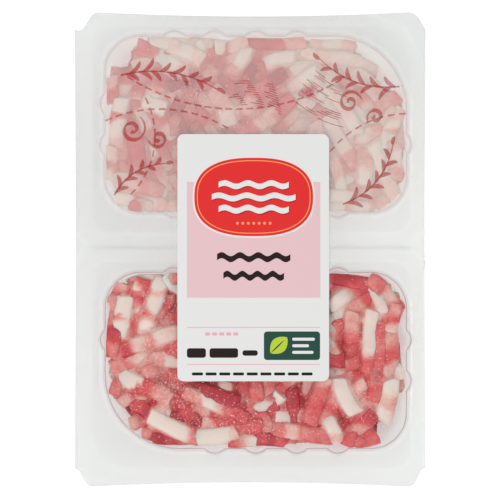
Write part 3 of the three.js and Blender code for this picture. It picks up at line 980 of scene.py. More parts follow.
def addToHeap(heap, strip, found, field):
    line, z, at = found["line"], found["z"], field["at"]
    side, steps = planOf(strip)[1], heapRule["printSteps"]
    for i in range(heapRule["stations"] - 1):
        for s in range(steps):
            t = s / steps
            x = line[i][0] + (line[i + 1][0] - line[i][0]) * t
            y = line[i][1] + (line[i + 1][1] - line[i][1]) * t
            top = z[i] + (z[i + 1] - z[i]) * t + strip["height"]
            for share in heapRule["printAcross"]:
                out = strip["width"] * share
                here = at(x + side[0] * out, y + side[1] * out)
                for heights in (field["heights"], field["tops"]):
                    heights[here] = max(heights[here], top)
    heap.append({**strip, "line": line, "z": z})


def section(draw):
    rule = heapRule
    width, height = draw(*rule["width"]), draw(*rule["height"])
    return {"width": width, "height": height,
            "highest": trayDepth - rule["clearance"] - draw(*rule["underFilm"])}


def randomStrip(draw, pocket):
    length, turn = draw(*heapRule["length"]), draw(0, math.pi)
    x = pocket["centre"][0] + draw(-0.5, 0.5) * pocketShape["width"]
    y = pocket["centre"][1] + draw(-0.5, 0.5) * pocketShape["length"]
    dx, dy = math.cos(turn) * length / 2, math.sin(turn) * length / 2
    bow = draw(-heapRule["bow"], heapRule["bow"])
    sway = draw(-heapRule["sway"], heapRule["sway"])
    return {"ends": (x - dx, y - dy, x + dx, y + dy), "bow": bow, "sway": sway, **section(draw)}


def dropStrip(heap, draw, pocket, field):
    # of many tries, the strip that comes to rest lowest
    tries = []
    for _ in range(heapRule["tries"]):
        strip = randomStrip(draw, pocket)
        found = landing(strip, pocket, field)
        if found["inWall"] <= 0 and found["sunk"] <= heapRule["mostSunk"]:
            tries.append((strip, found))
    if tries:
        addToHeap(heap, *min(tries, key=lambda each: sum(each[1]["z"])), field)


def layTopStrip(heap, draw, pocket, field, place):
    x0, y0, x1, y1, bow, bands = place
    cx, cy = pocket["centre"]
    cut, share = section(draw), 1.0
    while share > heapRule["leastShare"]:
        ends = (cx + (x0 - cx) * share, cy + (y0 - cy) * share,
                cx + (x1 - cx) * share, cy + (y1 - cy) * share)
        strip = {"ends": ends, "bow": bow, "sway": 0, "bands": bands, **cut}
        found = landing(strip, pocket, field)
        if found["inWall"] <= 0:
            addToHeap(heap, strip, found, field)
            return
        share -= heapRule["shareStep"]


def isBare(name, line, extra=0.0):
    return any(math.hypot(x - bx, y - by) < radius + extra
               for x, y in line for bx, by, radius in heapRule["bare"][name])


def fillHoles(heap, draw, name, field):
    # the place with the lowest strip gets a short one across it, sunk between its neighbours
    rule, heights, tops, at, spots = fillRule, field["heights"], field["tops"], field["at"], field["spots"]
    pocket = pockets[name]
    room = rimInset(pocket, np.array(spots))
    wallReach, wallLevel = rule["atWall"]
    short = {i: (wallLevel if room[i] < wallReach else rule["to"][name]) for i in range(len(spots))
             if room[i] > rule["holeInset"] and not isBare(name, [spots[i]], rule["holeFromBare"])}
    for _ in range(rule["strips"]):
        left = [i for i in short if tops[i] < short[i]]
        if not left:
            return
        low = min(left, key=lambda i: tops[i] - short[i])
        del short[low]
        base, tries = heights[low] - rule["sunk"], []
        for _ in range(rule["tries"]):
            length, turn = draw(*rule["length"]), draw(0, 2 * math.pi)
            slide = draw(-rule["slide"], rule["slide"]) * length
            dx, dy = math.cos(turn), math.sin(turn)
            x, y = spots[low][0] + dx * slide, spots[low][1] + dy * slide
            ends = (x - dx * length / 2, y - dy * length / 2, x + dx * length / 2, y + dy * length / 2)
            strip = {"ends": ends, "bow": draw(-rule["bow"], rule["bow"]),
                     "sway": draw(-rule["sway"], rule["sway"]), **section(draw)}
            line = planOf(strip)[0]
            if isBare(name, line, rule["stripFromBare"]):
                continue
            if rimInset(pocket, np.array(line)).min() < rule["stripInset"]:
                continue
            ground = [groundAt(pocket, px, py) for px, py in line]
            highest = (strip["highest"] if room[low] < wallReach else rule["top"]) - strip["height"]
            if max(ground) > highest + rule["overTop"]:
                continue
            z = [max(base, g) for g in ground]
            for _ in range(rule["settling"]):
                z[1:-1] = [max(g, (a + b) / 2) for g, a, b in zip(ground[1:-1], z, z[2:])]
            z = [min(h, highest) for h in z]
            lift = strip["height"] - rule["shownBy"]
            shown = sum(tops[at(px, py)] < h + lift for (px, py), h in zip(line, z))
            score = shown / len(line) * length - rule["heightCost"] * (max(z) - base)
            tries.append((score, strip, {"line": line, "z": z}))
        if tries:
            best = max(tries, key=lambda each: each[0])
            addToHeap(heap, *best[1:], field)


def isCovered(strip, pocket):
    deep = max(strip["z"]) + strip["height"] < heapRule["coveredTop"]
    return deep and rimInset(pocket, np.array(strip["line"])).min() > heapRule["coveredInset"]


def layHeap(name):
    pocket = pockets[name]
    draw = drawFrom(heapRule["seed"][name])
    field = heightField(pocket)
    heap = []
    while np.mean([field["heights"][i] for i in field["inner"]]) < heapRule["fillLevel"]:
        dropStrip(heap, draw, pocket, field)
    for place in topStrips[name]:
        layTopStrip(heap, draw, pocket, field, place)
    for _ in range(heapRule["gapStrips"]):
        dropStrip(heap, draw, pocket, field)
    print(name, "strips as in the solids:", len(heap))
    fillHoles(heap, draw, name, field)
    return [strip for strip in heap if not isCovered(strip, pocket)]


def keepInPocket(pocket, at):
    # points that stand in the wall are pushed in to it
    depths, heights = zip(*floorProfile[::-1])  # from the floor up
    need = np.interp(at[:, 2], heights, depths) + heapRule["clearance"]
    step = 0.05
    inset = rimInset(pocket, at)
    slope = np.column_stack([rimInset(pocket, at[:, :2] + (step, 0)) - inset,
                             rimInset(pocket, at[:, :2] + (0, step)) - inset]) / step
    slope /= np.maximum(np.hypot(*slope.T), 0.2)[:, None]
    at[:, :2] += slope * np.maximum(need - inset, 0)[:, None]
    low, high = pocketShape["wall"] + heapRule["clearance"], trayDepth - heapRule["clearance"] / 2
    at[:, 2] = at[:, 2].clip(low, high)


# strips of meat: a swept bar for each, cut square at the ends
stripCut = {
    "sides": 4,  # steps round each corner of the section, with both ends
    "cornerRound": 0.30,  # share of the section
    "slant": 2.2,  # of the cut ends
    "sizes": {
        "Step": 1.15,  # between rings
        "End shrink": 0.10,
        "Roughness": 0.72,  # relief of the surface
        "Relief size": 2.5,
        "Bulge": 1.6,
        "Bulge size": 11.0,
    },
}


def sectionRing():  # a rounded square from -0.5 to 0.5 as a curve
    loop = roundedLoop((-0.5, -0.5), (0.5, 0.5), everyCorner(stripCut["cornerRound"]), stripCut["sides"] - 1)
    ring = bpy.data.curves.new("stripSection", "CURVE")
    ring.dimensions = "3D"
    spline = ring.splines.new("POLY")
    spline.points.add(len(loop) - 1)
    for point, (x, y) in zip(spline.points, loop):
        point.co = (x, y, 0, 1)
    spline.use_cyclic_u = True
    return bpy.data.objects.new("stripSection", ring)


def stripTree(material, ringPiece):
    # sweeps the section along each line, shrinks and slants the ends and roughens the whole
    tree, given, result = newTree("meatStrips", {**stripCut["sizes"], "Seed": 0})
    given = given.outputs

    def keep(geometry, name, value, kind):
        sockets = {"Geometry": geometry, "Name": name, "Value": value}
        return addNode(tree, "GeometryNodeStoreNamedAttribute", sockets, data_type=kind,
                       domain="POINT").outputs[0]

    ring = addNode(tree, "GeometryNodeObjectInfo", {"Object": ringPiece}).outputs["Geometry"]
    place = addNode(tree, "GeometryNodeInputPosition").outputs[0]
    ring = keep(ring, "cut", place, "FLOAT_VECTOR")
    curve = evenCurve(tree, given["Geometry"], given["Step"], rounded=True)
    for name, kind, value in (
            ("middle", "FLOAT_VECTOR", place),
            ("ahead", "FLOAT_VECTOR", addNode(tree, "GeometryNodeInputTangent").outputs[0]),
            ("across", "FLOAT_VECTOR", addNode(tree, "GeometryNodeInputNormal").outputs[0]),
            ("along", "FLOAT", addNode(tree, "GeometryNodeSplineParameter").outputs["Length"]),
            ("total", "FLOAT", addNode(tree, "GeometryNodeSplineLength").outputs["Length"])):
        curve = keep(curve, name, value, kind)
    swept = addNode(tree, "GeometryNodeCurveToMesh",
                    {"Curve": curve, "Profile Curve": ring, "Fill Caps": True}).outputs[0]

    def wave(size, shift, body):
        scale = maths(tree, "DIVIDE", 1.0, size)
        noise = addNode(tree, "ShaderNodeTexNoise", {"Vector": vectorMaths(tree, "ADD", body, shift),
                                                     "Scale": scale, "Detail": 2.0}, noise_dimensions="3D")
        return vectorMaths(tree, "ADD", noise.outputs["Color"], (-0.5, -0.5, -0.5))

    def moved(body, direction, amount):
        step = addNode(tree, "ShaderNodeVectorMath", {0: direction, "Scale": amount}, operation="SCALE")
        return vectorMaths(tree, "ADD", body, step.outputs[0])

    cut = addNode(tree, "ShaderNodeSeparateXYZ", {0: named(tree, "cut", "FLOAT_VECTOR")}).outputs
    along, ahead = named(tree, "along"), named(tree, "ahead", "FLOAT_VECTOR")
    across = named(tree, "across", "FLOAT_VECTOR")
    toEnd = maths(tree, "MINIMUM", along, maths(tree, "SUBTRACT", named(tree, "total"), along))
    nearEnd = maths(tree, "MINIMUM", maths(tree, "DIVIDE", toEnd, given["Step"]), 1.0)
    endShare = maths(tree, "SUBTRACT", 1.0, nearEnd)
    full = maths(tree, "SUBTRACT", 1.0, maths(tree, "MULTIPLY", endShare, given["End shrink"]))
    upwards = vectorMaths(tree, "CROSS_PRODUCT", ahead, across)
    body = named(tree, "middle", "FLOAT_VECTOR")
    for direction, side, size, share in ((across, "X", "width", full), (upwards, "Y", "height", full),
                                         (ahead, "X", "slant", endShare)):
        reach = maths(tree, "MULTIPLY", named(tree, size), share)
        body = moved(body, direction, maths(tree, "MULTIPLY", cut[side], reach))
    shift = combined(tree, maths(tree, "MULTIPLY", named(tree, "strip"), 37.0), given["Seed"], 0.0)
    for size, strength in (("Bulge size", "Bulge"), ("Relief size", "Roughness")):
        body = moved(body, wave(given[size], shift, body), given[strength])
    placed = addNode(tree, "GeometryNodeSetPosition", {"Geometry": swept, "Position": body})
    return finishTree(tree, result, placed.outputs[0], material)


meatLook = {
    "ramp": [
        (0.05, (0.77, 0.66, 0.59, 1)),  # fat
        (0.27, (0.77, 0.485, 0.42, 1)),
        (0.50, (0.71, 0.25, 0.22, 1)),
        (0.78, (0.66, 0.072, 0.08, 1)),  # lean
        (1.00, (0.44, 0.018, 0.032, 1)),
    ],
    "noises": [  # size in millimetres, detail, distortion, and how far each breaks up the bands
        (2.8, 3.0, 0.4, 0.30),
        (0.9, 2.0, 0.0, 0.26),
        (None, 2.0, 0.3, 0.20),  # marbling along the grain
        (7.5, 1.0, 0.0, 0.36),
    ],
    "toneStep": 0.13,
    "paintedDeepShade": (0.80, 0.17, 0.25, 1),  # painted shade: what lies deep in the heap is painted darker and redder, for the shade and red bounced light in the gaps
    "deepFrom": 21.6,
    "deepTo": 14.5,
    "deepInset": (4.0, 9.0),  # not at the walls
    "finish": {"Roughness": 0.34, "IOR": 1.4, "Subsurface_Weight": 0.35, "Subsurface_Radius": (1.0, 0.6, 0.5),
               "Subsurface_Scale": 0.0022},
    "grit": {"Scale": 900.0, "Detail": 3.0},
    "gritDepth": {"Strength": 0.25, "Distance": 0.0003},
}

bandLean = {"f": 0.02, "p": 0.38, "l": 0.74, "d": 0.98}
bandEdge = {
    "shift": {"upper": -0.03, "lower": 0.035},  # the lower heap is leaner
    "swing": 0.07,
    "place": 0.12,  # in bands
    "slant": 0.6,
    "tip": 0.5,
    "wave": (0.3, 0.9),
    "waves": (0.6, 1.2),
    "soft": (1.0, 5.5),
    "grain": (0.9, 1.6, 3.7),  # along, across, and from strip to strip
}


def fillRamp(ramp, stops):
    for element, (position, colour) in zip(ramp.elements, (stops[0], stops[-1])):
        element.position, element.color = position, colour
    for position, colour in stops[1:-1]:
        ramp.elements.new(position).color = colour


def meatMaterial(name):
    look = meatLook
    material, tree, shader = principled(name, **look["finish"])
    place = addNode(tree, "ShaderNodeTexCoord").outputs["Object"]

    def valueOf(name, output="Fac"):
        return addNode(tree, "ShaderNodeAttribute", attribute_name=name).outputs[output]

    lean, grain = valueOf("lean"), valueOf("grain", "Vector")
    for size, detail, distortion, strength in look["noises"]:
        noise = addNode(tree, "ShaderNodeTexNoise", {
            "Vector": place if size else grain, "Scale": 1 / (size * mm) if size else 1.0,
            "Detail": detail, "Distortion": distortion}).outputs["Fac"]
        lean = maths(tree, "MULTIPLY_ADD", maths(tree, "SUBTRACT", noise, 0.5), strength, lean)
    lean = maths(tree, "MULTIPLY_ADD", valueOf("tone"), look["toneStep"], lean)
    ramp = addNode(tree, "ShaderNodeValToRGB", {"Fac": lean})
    fillRamp(ramp.color_ramp, look["ramp"])
    # painted shade: the colour is multiplied darker and redder by how deep the point lies
    paintedShade = addNode(tree, "ShaderNodeMix", {"Factor": valueOf("deep"), 6: ramp.outputs["Color"],
                                             7: look["paintedDeepShade"]}, data_type="RGBA", blend_type="MULTIPLY")
    tree.links.new(paintedShade.outputs[2], shader.inputs["Base Color"])
    grit = addNode(tree, "ShaderNodeTexNoise", {"Vector": place, **look["grit"]}).outputs["Fac"]
    bump = addNode(tree, "ShaderNodeBump", {"Height": grit, **look["gritDepth"]})
    tree.links.new(bump.outputs["Normal"], shader.inputs["Normal"])
    return material


def addMeatValues(mesh, name, lean, tone, grain):
    # what the meat's material reads at each point
    at = pointsOf(mesh)
    start, end = meatLook["deepInset"]
    # how much painted shade a point gets: more the lower it lies, none at the walls
    deep = ((meatLook["deepFrom"] - at[:, 2]) / (meatLook["deepFrom"] - meatLook["deepTo"])).clip(0, 1)
    deep *= smoothStep((rimInset(pockets[name], at) - start) / (end - start))
    addValue(mesh, "lean", lean)
    addValue(mesh, "tone", tone)
    addValue(mesh, "deep", deep)
    grains = mesh.attributes.new("grain", "FLOAT_VECTOR", "POINT")
    grains.data.foreach_set("vector", grain.astype(np.float32).ravel())


def choicesAt(name, x, y):
    for (cx, cy), (rx, ry), choices in bandChoice[name]:
        if ((x - cx) / rx) ** 2 + ((y - cy) / ry) ** 2 < 1:
            return choices.split()


def bandsOn(mesh, heap, name):
    # lean and fat in bands along each strip, with slanting, uneven borders; and a tone for each strip
    chance, edge = random.Random(heapRule["seed"][name]), bandEdge

    def swing(reach):
        return chance.uniform(-reach, reach)

    owner = valuesOf(mesh, "strip").round().astype(int)
    along, cut, total = valuesOf(mesh, "along"), valuesOf(mesh, "cut", 3), valuesOf(mesh, "total")
    lean, tone = np.zeros(len(owner)), np.zeros(len(owner))
    for number, strip in enumerate(heap):
        here = owner == number
        bands = strip.get("bands") or chance.choice(choicesAt(name, *strip["line"][4]))
        values = [bandLean[b] + edge["shift"][name] + swing(edge["swing"]) for b in bands]
        length, s = total[here].mean(), along[here]
        across, up = cut[here, 0] * strip["width"], cut[here, 1] * strip["height"]
        result = np.full(here.sum(), values[0])
        for i in range(1, len(values)):
            border = length * i / len(values) + swing(edge["place"]) * length / len(values)
            slant, tip = swing(edge["slant"]), swing(edge["tip"])
            wave = chance.uniform(*edge["wave"])
            wave *= np.sin(across * chance.uniform(*edge["waves"]) + up * 0.7 + chance.uniform(0, 6))
            soft = chance.uniform(*edge["soft"])
            share = smoothStep((s - border - slant * across - tip * up - wave) / soft + 0.5)
            result += (values[i] - values[i - 1]) * share
        lean[here] = result
        tone[here] = swing(1)
    a, b, c = edge["grain"]
    return lean, tone, np.column_stack([along * a, cut[:, 0] * b + owner * c, cut[:, 1] * b])


def makeStrips(name, tree):
    heap = layHeap(name)
    lines = [[(x, y, z + strip["height"] / 2) for (x, y), z in zip(strip["line"], strip["z"])]
             for strip in heap]
    chance = random.Random(5 + heapRule["seed"][name])
    piece = linePiece(name + "Strips", lines, {
        "strip": list(range(len(heap))),
        "width": [strip["width"] * heapRule["swell"] for strip in heap],
        "height": [strip["height"] for strip in heap],
        "slant": [chance.uniform(-1, 1) * stripCut["slant"] for strip in heap],
    })
    mesh = runTree(piece, tree, {**stripCut["sizes"], "Seed": heapRule["seed"][name]})
    look = bandsOn(mesh, heap, name)
    at = pointsOf(mesh) * mm  # the lines were laid in millimetres
    keepInPocket(pockets[name], at)
    placePoints(mesh, at)
    addMeatValues(mesh, name, *look)
    dropValues(mesh, "middle", "ahead", "across", "along", "total", "cut")
    dropValues(mesh, "strip", "width", "height", "slant")
    mesh.polygons.foreach_set("use_smooth", np.ones(len(mesh.polygons), bool))
    print(name, "strips:", len(heap), "with", len(mesh.polygons), "faces")
    return piece


meat = meatMaterial("rawBacon")
sectionPiece = sectionRing()
stripsTree = stripTree(meat, sectionPiece)
strips = {name: makeStrips(name, stripsTree) for name in pockets}
for name, piece in strips.items():
    ridesOn(piece, "bacon", "strips_" + name)
bpy.data.objects.remove(sectionPiece)
print("strips laid")


# soft trimmings pressed between the strips close the narrow gaps
trimmings = {
    "cell": 0.9,
    "reach": 2,  # cells: gaps up to twice this wide are closed
    "leanReach": 2,
    "below": 1.0,  # how far they lie under the strips beside them
    "hollow": {"upper": 0.10, "lower": 0.24},  # share of a gap's depth that stays open
    "paintedGapShade": {"upper": 0.015, "lower": 0.055},  # painted shade: how much leaner, so darker, a gap is painted for each millimetre of its depth
    "lowest": 15.0,
    "foot": 13.4,
    "thinnest": 0.2,
    "fromWall": 2.2,
    "bump": 0.22,
    "swings": (1.3, 2, 0.8, 1.6, 1, 1),
    "samples": 4,  # across each face of a strip
}


def topsOf(pocket, mesh):
    # the highest point of the strips in each cell, and how lean they are there
    cell, margin, samples = trimmings["cell"], trimmings["reach"] + 2, trimmings["samples"]
    size = np.array((pocketShape["width"], pocketShape["length"]))
    low = np.array(pocket["centre"]) - size / 2 - margin * cell
    columns, rows = (size / cell).astype(int) + 2 * margin + 1
    starts, sides = np.zeros(len(mesh.polygons), int), np.zeros(len(mesh.polygons), int)
    corners = np.zeros(len(mesh.loops), int)
    mesh.polygons.foreach_get("loop_start", starts)
    mesh.polygons.foreach_get("loop_total", sides)
    mesh.loops.foreach_get("vertex_index", corners)
    quads = corners[starts[sides == 4][:, None] + np.arange(4)]
    at = np.column_stack([pointsOf(mesh), valuesOf(mesh, "lean")])[quads]
    shares = np.linspace(0, 1, samples)
    a, b, c, d = np.moveaxis(at, 1, 0)
    found = np.concatenate([(a * (1 - u) + b * u) * (1 - v) + (d * (1 - u) + c * u) * v
                            for u in shares for v in shares])
    found = found[np.argsort(found[:, 2])]  # the highest comes last and stays
    column, row = np.round((found[:, :2] - low) / cell).astype(int).T
    heights, lean = np.zeros((rows, columns)), np.zeros((rows, columns))
    heights[row, column] = found[:, 2]
    lean[row, column] = found[:, 3]
    xs, ys = np.meshgrid(low[0] + np.arange(columns) * cell, low[1] + np.arange(rows) * cell)
    return xs, ys, heights, lean


def around(grid, reach, pick):
    # each cell takes what pick makes of it and of those around it
    result = grid.copy()
    for dy in range(-reach, reach + 1):
        for dx in range(-reach, reach + 1):
            if (dx or dy) and math.hypot(dx, dy) <= reach + 0.3:
                result = pick(result, np.roll(grid, (dy, dx), (0, 1)))
    return result


def makeTrimmings(name, strips, material):
    pocket, rule = pockets[name], trimmings
    xs, ys, heights, lean = topsOf(pocket, strips.data)
    level = around(around(heights, rule["reach"], np.maximum), rule["reach"], np.minimum)
    known = (heights > 0).astype(float)
    known, lean = (around(values, rule["leanReach"], np.add) for values in (known, lean * known))
    lean /= np.maximum(known, 1)
    gap = (level - np.maximum(heights, rule["foot"])).clip(0)
    # painted shade: deeper gaps are painted leaner, so darker
    lean += rule["paintedGapShade"][name] * gap
    level -= rule["hollow"][name] * gap
    level = around(level, 1, np.add) / 5 - rule["below"]  # the mean of five cells
    level += rule["bump"] * bumpy(xs, ys, *rule["swings"])
    flat = np.column_stack([xs.ravel(), ys.ravel()])
    inset = rimInset(pocket, flat)
    solid = (level.ravel() > rule["lowest"]) & (inset > rule["fromWall"])
    solid = around(solid.reshape(xs.shape).astype(float), 1, np.minimum) > 0
    number = -np.ones(xs.shape, int)
    number[solid] = np.arange(solid.sum())
    whole = solid[:-1, :-1] & solid[:-1, 1:] & solid[1:, 1:] & solid[1:, :-1]
    faces = np.column_stack([number[:-1, :-1][whole], number[:-1, 1:][whole],
                             number[1:, 1:][whole], number[1:, :-1][whole]])
    used = np.unique(faces)
    place = -np.ones(solid.sum(), int)
    place[used] = np.arange(len(used))
    at, top, shade = flat[solid.ravel()][used], level[solid][used], lean[solid][used]
    foot = np.interp(inset[solid.ravel()][used] - heapRule["clearance"] * 2, *zip(*floorProfile))
    foot = np.minimum(np.maximum(foot, rule["foot"]), top - rule["thinnest"])
    points, faces = slab(np.column_stack([at, top]), np.column_stack([at, foot]), place[faces].tolist())
    mesh = makeMesh(name + "Trimmings", points, faces, [material])
    addMeatValues(mesh, name, np.concatenate([shade, shade]), np.zeros(len(points)), points)
    return makePiece(name + "Trimmings", mesh)


for name, piece in strips.items():
    ridesOn(makeTrimmings(name, piece, meat), "bacon", "strips_" + name)
print("trimmings pressed in")


# the core under each heap, its side drawn as the strips that press against the wall
coreShape = {
    "profile": [(6.9, 14.4), (4.9, 12.2), (7.4, 5.2), (11.4, 1.2)],  # inset and height
    "bump": 0.7,
    "swings": (0.9, 2, 0.5, 1.1, 1, 0.6),
    "gridStep": 2.4,
    "fromEdge": (1, 0.5),  # where the top's grid starts, and where its bumps do
    "sideStep": 0.8,
    "fade": (1, 2),  # of the bars at the top and at the foot
    "bars": 170,
    "barLength": (16, 34),
    "barWidth": (4.8, 6.8),
    "barTilt": 0.5,
    "barOut": (1.0, 1.7),  # how far a bar stands out
    "barRound": 4,
    "barBlunt": 14,
    "bandSharp": 2.5,
    # painted shade: between the bars the side is painted nearly the darkest lean
    "paintedGapLean": 0.95,
    "topLean": 0.6,
    "bareReach": 14,
    "bareBlur": 6,
}


def drawBars(name, along, down, girth):
    # how far the side stands out at each point, and how lean and how toned it is
    shape = coreShape
    chance = random.Random(71 + heapRule["seed"][name])
    out, lean, tone = np.zeros(len(along)), np.full(len(along), shape["paintedGapLean"]), np.zeros(len(along))
    for _ in range(shape["bars"]):
        length, width = chance.uniform(*shape["barLength"]), chance.uniform(*shape["barWidth"])
        tilt = chance.uniform(-shape["barTilt"], shape["barTilt"])
        x = (along - chance.uniform(0, girth) + girth / 2) % girth - girth / 2
        y = down - chance.uniform(0, down.max())
        u = (x * math.cos(tilt) + y * math.sin(tilt)) / length * 2
        v = (y * math.cos(tilt) - x * math.sin(tilt)) / width * 2
        here = (np.abs(u) < 1) & (np.abs(v) < 1)
        u, v = u[here], v[here]
        bulge = (1 - np.abs(v) ** shape["barRound"]) ** 0.5 * (1 - np.abs(u) ** shape["barBlunt"]) ** 0.5
        out[here] = chance.uniform(*shape["barOut"]) * bulge
        bands = chance.choice(bandChoice[name][-1][2].split())
        values = np.array([bandLean[b] + bandEdge["shift"][name] for b in bands])
        share = ((u + 1) / 2 * len(bands) - 0.5).clip(0, len(bands) - 1.001)
        band = share.astype(int)
        mix = smoothStep((share - band - 0.5) * shape["bandSharp"] + 0.5)
        lean[here] = values[band] * (1 - mix) + values[band + 1] * mix
        tone[here] = chance.uniform(-1, 1)
    return out, lean, tone


def wayAlong(line):
    return np.concatenate([[0], np.cumsum(np.hypot(*np.diff(line, axis=0).T))])


def sideLevels():
    # the profile cut into even steps: inset, height and way down
    profile = np.array(coreShape["profile"])
    way = wayAlong(profile)
    down = np.linspace(0, way[-1], round(way[-1] / coreShape["sideStep"]) + 1)
    return np.column_stack([*(np.interp(down, way, values) for values in profile.T), down])


def aroundRim(pocket):
    # the rim cut into even steps: way along it, place, and one millimetre inwards; and the whole way round
    rings = [closed(pocketRing(pocket, inset, 0)) for inset in (0, 1)]
    way = wayAlong(rings[0])
    count = round(way[-1] / coreShape["sideStep"])
    along = np.arange(count) * way[-1] / count
    rim, inner = [np.column_stack([np.interp(along, way, values) for values in ring.T]) for ring in rings]
    return along, rim, inner - rim, way[-1]


def bareDepth(name, rim, inward):
    # how far in the core has to stay where a place at the wall is bare
    depth, blur = np.zeros(len(rim)), coreShape["bareBlur"]
    for step in range(coreShape["bareReach"]):
        bare = [isBare(name, [spot]) for spot in rim + inward * step]
        depth[bare] = step + 1
    return np.mean([np.roll(depth, k) for k in range(-blur, blur + 1)], 0)


def makeCore(name, material):
    pocket, shape, levels = pockets[name], coreShape, sideLevels()
    along, rim, inward, girth = aroundRim(pocket)
    count, (topInset, topZ, _) = len(rim), levels[0]
    least = bareDepth(name, rim, inward)
    top = rim + inward * np.maximum(least, topInset)[:, None]
    grid, _ = pocketGrid(pocket, shape["gridStep"])
    grid = grid[(rimInset(pocket, grid) > topInset + shape["fromEdge"][0]) & insideLoop(grid, top)]
    loop = [(i, (i + 1) % count) for i in range(count)]
    made = delaunay_2d_cdt([Vector(p) for p in np.concatenate([top, grid])], loop, [], 1, 1e-4)
    flat = np.array([tuple(v) for v in made[0]])
    bumps = bumpy(*flat.T, *shape["swings"]) * shape["bump"]
    bumps[rimInset(pocket, flat) <= topInset + shape["fromEdge"][1]] = 0

    insets, heights, down = np.repeat(levels, count, 0).T
    out, lean, tone = drawBars(name, np.tile(along, len(levels)), down, girth)
    start, end = shape["fade"]
    out *= (down / start).clip(0, 1) * (levels[-1][2] - down).clip(0, end) / end
    stands = np.maximum(insets - out, np.tile(least, len(levels)))
    side = np.tile(rim, (len(levels), 1)) + np.tile(inward, (len(levels), 1)) * stands[:, None]
    at = np.concatenate([np.column_stack([flat, topZ + bumps]), np.column_stack([side, heights])])
    rings = range(len(flat), len(at), count)
    faces = [tuple(f) for f in made[2]]
    faces += [face for first in rings[:-1] for face in wallFaces(first, count, outwards=True)]
    faces.append(tuple(range(rings[-1], len(at)))[::-1])
    keepInPocket(pocket, at)
    mesh = makeMesh(name + "Core", at, faces, [material])
    addValue(mesh, "sideLean", np.concatenate([np.full(len(flat), shape["topLean"]), lean]))
    addValue(mesh, "sideTone", np.concatenate([np.zeros(len(flat)), tone]))
    mendMesh(mesh, 1e-5)
    addMeatValues(mesh, name, valuesOf(mesh, "sideLean"), valuesOf(mesh, "sideTone"), pointsOf(mesh))
    dropValues(mesh, "sideLean", "sideTone")
    return makePiece(name + "Core", mesh)


for name in pockets:
    ridesOn(makeCore(name, meat), "bacon", "strips_" + name)
print("cores made")


# label
labelPaper = {
    "radius": 2.9,
    "layer": 0.014,  # between one printed field and the next
    "sunk": 0.05,  # how deep the fields reach into the paper
    "colours": {
        "paper": (0.775, 0.775, 0.768, 1),
        "pink": (0.78, 0.535, 0.555, 1),
        "red": (0.76, 0.026, 0.026, 1),
        "shade": (0.36, 0.012, 0.016, 1),
        "gold": (0.93, 0.40, 0.13, 1),
        "ink": (0.016, 0.008, 0.008, 1),
        "rose": (0.83, 0.42, 0.47, 1),
        "green": (0.017, 0.068, 0.052, 1),
        "lime": (0.48, 0.62, 0.05, 1),
    },
    "badge": {"centre": (1.6, 23.2), "reach": (27.0, 18.1), "squareness": 2.5},
    "waves": ((28.6, 15.5), (23.2, 18.5), (17.8, 15.5)),  # height and half the length
    "shadow": (0.35, -0.45),
    "beads": {"count": 7, "step": 2.4, "y": 11.6, "radius": 0.62},
    "bars": ((-3.4, 16.2), (-11.6, 13.4)),
    "lowerBoxes": [  # left, right, bottom, top, radius, steps in a corner, colour and layer
        *((-27.9, 30.9, y - 0.17, y + 0.17, 0.1, 2, "rose", 1) for y in (-34.4, -50.7)),
        *((-19.9 + i * 3.1, -17.6 + i * 3.1, -38.0, -36.6, 0.5, 4, "rose", 1) for i in range(5)),
        (-27.9, -19.5, -47.8, -43.6, 1.1, 6, "ink", 1),
        (-17.9, -5.3, -47.8, -43.6, 1.1, 6, "ink", 1),
        (-3.4, 3.4, -46.9, -44.5, 1.1, 6, "ink", 1),
        (6.1, 30.9, -48.8, -36.2, 1.4, 6, "green", 1),
    ],
    "greenLines": ((-39.6, 28.6), (-42.5, 26.0), (-45.4, 28.0)),
    "footMarks": {"count": 9, "left": -25.7, "step": 6.05, "length": 4.9},
}


def box(left, right, bottom, top, radius, steps=6):
    return roundedLoop((left, bottom), (right, top), everyCorner(radius), steps)


def oval(cx, cy, rx, ry, steps=72, squareness=2.0):
    points = []
    for i in range(steps):
        c, s = math.cos(i / steps * 2 * math.pi), math.sin(i / steps * 2 * math.pi)
        points.append((cx + rx * math.copysign(abs(c) ** (2 / squareness), c),
                       cy + ry * math.copysign(abs(s) ** (2 / squareness), s)))
    return points


def leaf(x0, y0, x1, y1, fullness, steps=16):
    # a pointed leaf between two points
    dx, dy = x1 - x0, y1 - y0
    shares = np.linspace(0, 1, steps)[:-1]
    sides = []
    for sign, ts in ((-1, shares), (1, 1 - shares)):
        swell = [math.sin(math.pi * t) ** 0.8 * sign * fullness for t in ts]
        sides += [(x0 + dx * t - dy * w, y0 + dy * t + dx * w) for t, w in zip(ts, swell)]
    return sides


def wavyBar(left, right, y, thickness, waves, swing, steps=48):
    shares = [i / steps for i in range(steps + 1)]
    line = [(left + (right - left) * t, y + swing * math.sin(waves * 2 * math.pi * t)) for t in shares]
    upper = [(x, h + thickness / 2) for x, h in reversed(line)]
    return [(x, h - thickness / 2) for x, h in line] + upper


